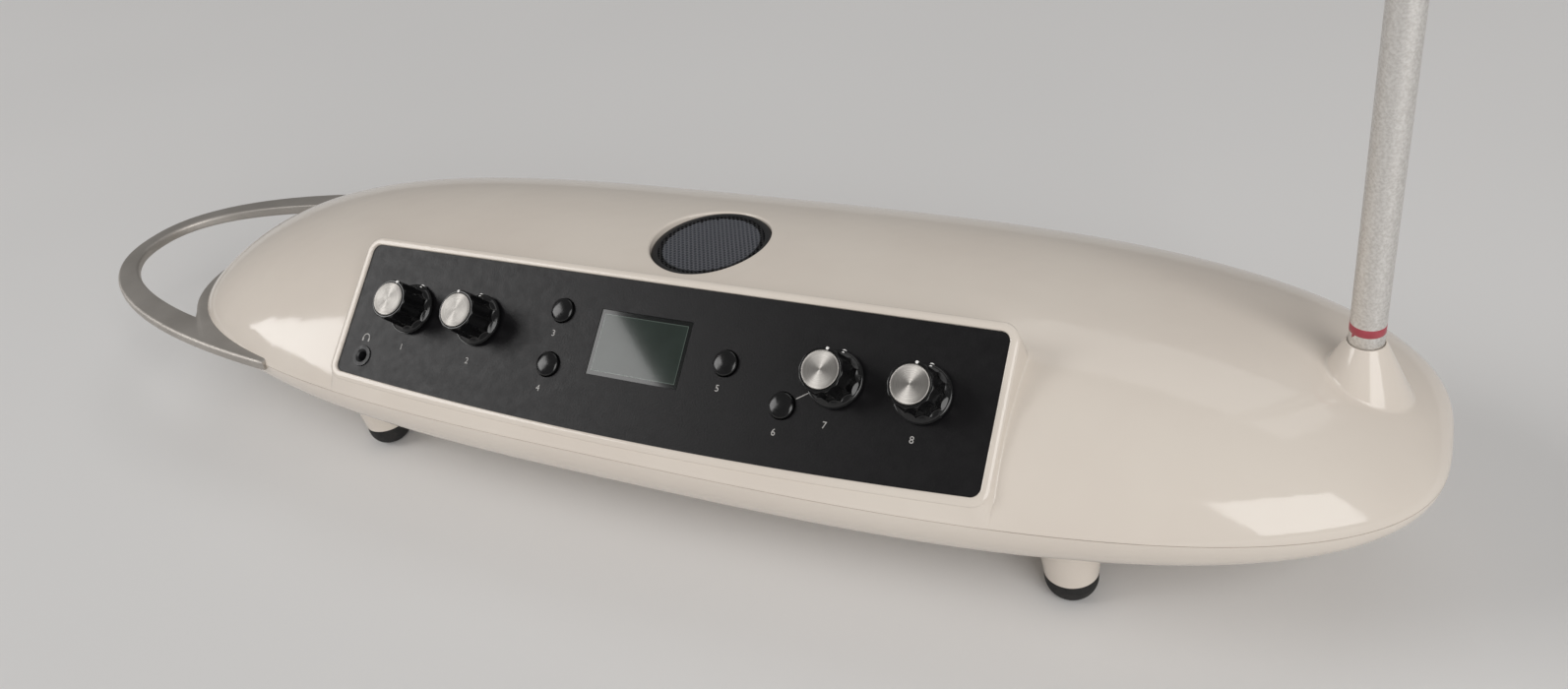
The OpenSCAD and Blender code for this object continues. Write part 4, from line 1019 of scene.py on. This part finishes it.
def makeStage():
    # a flat square grid at the table's height
    x = np.linspace(-9, 9, 13)
    rows = np.stack(np.broadcast_arrays(x[None, :], x[:, None], 0.0), -1)
    mesh = bpy.data.meshes.new("floor")
    mesh.from_pydata(rows.reshape(-1, 3).tolist(), [], gridFaces(13, 13).tolist())
    floor = bpy.data.objects.new("floor", mesh)
    scene.collection.objects.link(floor)
    material, tree, bsdf, where = startMaterial("studio paper", {"Roughness": 0.6, "Specular IOR Level": 0.2})
    cloud = between(tree, spots(tree, where, 400, 2), 0.3, 0.7)
    tree.links.new(mixColour(tree, cloud, *studio["floor"]), bsdf.inputs["Base Color"])
    mesh.materials.append(material)


def makeLights():
    # softboxes by compass direction from the object: turn (90 is +X, 180 towards the player), height and size
    middle = place((-20, 0, 0))
    boxes = {
        "rightBox": {"turn": 131, "rise": 31, "far": 4.0, "size": (2.5, 3.2), "level": 3.6},
        "leftBox": {"turn": -117.5, "rise": 33, "far": 4.0, "size": (1.82, 2.06), "level": 4.2},
        "backFill": {"turn": 15, "rise": 62, "far": 5.0, "size": (3.6, 2.0), "level": 0.8},
    }
    for name, box in boxes.items():
        turn, rise = math.radians(box["turn"]), math.radians(box["rise"])
        toward = np.array([math.sin(turn) * math.cos(rise), math.cos(turn) * math.cos(rise), math.sin(rise)])
        lamp = bpy.data.lights.new(name, "AREA")
        lamp.shape, lamp.size, lamp.size_y = "RECTANGLE", box["size"][0], box["size"][1]
        lamp.energy = math.pi * box["level"] * box["size"][0] * box["size"][1]
        lamp.color = (1.0, 0.99, 0.98)
        holder = bpy.data.objects.new(name, lamp)
        scene.collection.objects.link(holder)
        holder.location = middle + toward * box["far"]
        holder.rotation_euler = Vector(-toward).to_track_quat("-Z", "Y").to_euler()
    world = bpy.data.worlds.new("studio")
    scene.world = world
    world.use_nodes = True
    tree = world.node_tree
    tree.nodes.clear()
    path = addNode(tree, "LightPath")
    rays = {0: path.outputs["Is Camera Ray"], 1: path.outputs["Is Transmission Ray"]}
    seen = addNode(tree, "Math", {"operation": "MAXIMUM"}, rays)
    level = between(tree, seen.outputs[0], 0, 1, studio["skyLevel"], studio["seenLevel"])
    sky = addNode(tree, "Background", {"Color": linear(studio["sky"])}, {"Strength": level})
    addNode(tree, "OutputWorld", None, {"Surface": sky.outputs[0]})


cameraSpot = {
    "place": (218.713, -315.602, 250.617), "yaw": 0.535, "pitch": 0.547, "roll": -0.17,
    "focal": 1271.46, "middle": (796.5, 280.386), "frame": (1593, 700), "sensor": 36.0,
}


def makeCamera():
    # the photograph's own camera, solved from the panel, the knobs, the loop and the rod.
    # Its axes are the level camera's, tipped by the pitch and turned about its view by the roll.
    yaw, pitch, roll = cameraSpot["yaw"], cameraSpot["pitch"], cameraSpot["roll"]
    ahead = np.array([-math.sin(yaw) * math.cos(pitch), math.cos(yaw) * math.cos(pitch), -math.sin(pitch)])
    level = np.array([math.cos(yaw), math.sin(yaw), 0.0])
    over = np.cross(level, ahead)
    right = math.cos(roll) * level + math.sin(roll) * over
    up = -math.sin(roll) * level + math.cos(roll) * over
    data = bpy.data.cameras.new("view")
    data.sensor_fit, data.sensor_width = "HORIZONTAL", cameraSpot["sensor"]
    data.lens = cameraSpot["focal"] * cameraSpot["sensor"] / cameraSpot["frame"][0]
    data.shift_y = (cameraSpot["middle"][1] - cameraSpot["frame"][1] / 2) / cameraSpot["frame"][0]
    data.clip_start, data.clip_end = 0.02, 60.0
    camera = bpy.data.objects.new("view", data)
    scene.collection.objects.link(camera)
    spot = place(cameraSpot["place"])
    rows = [(*[float(v[k]) for v in (right, up, -ahead)], float(spot[k])) for k in range(3)]
    camera.matrix_world = Matrix(rows + [(0, 0, 0, 1)])
    scene.camera = camera


makeStage()
makeLights()
makeCamera()
scene.view_settings.view_transform = "Standard"
print("stage, light and camera made")
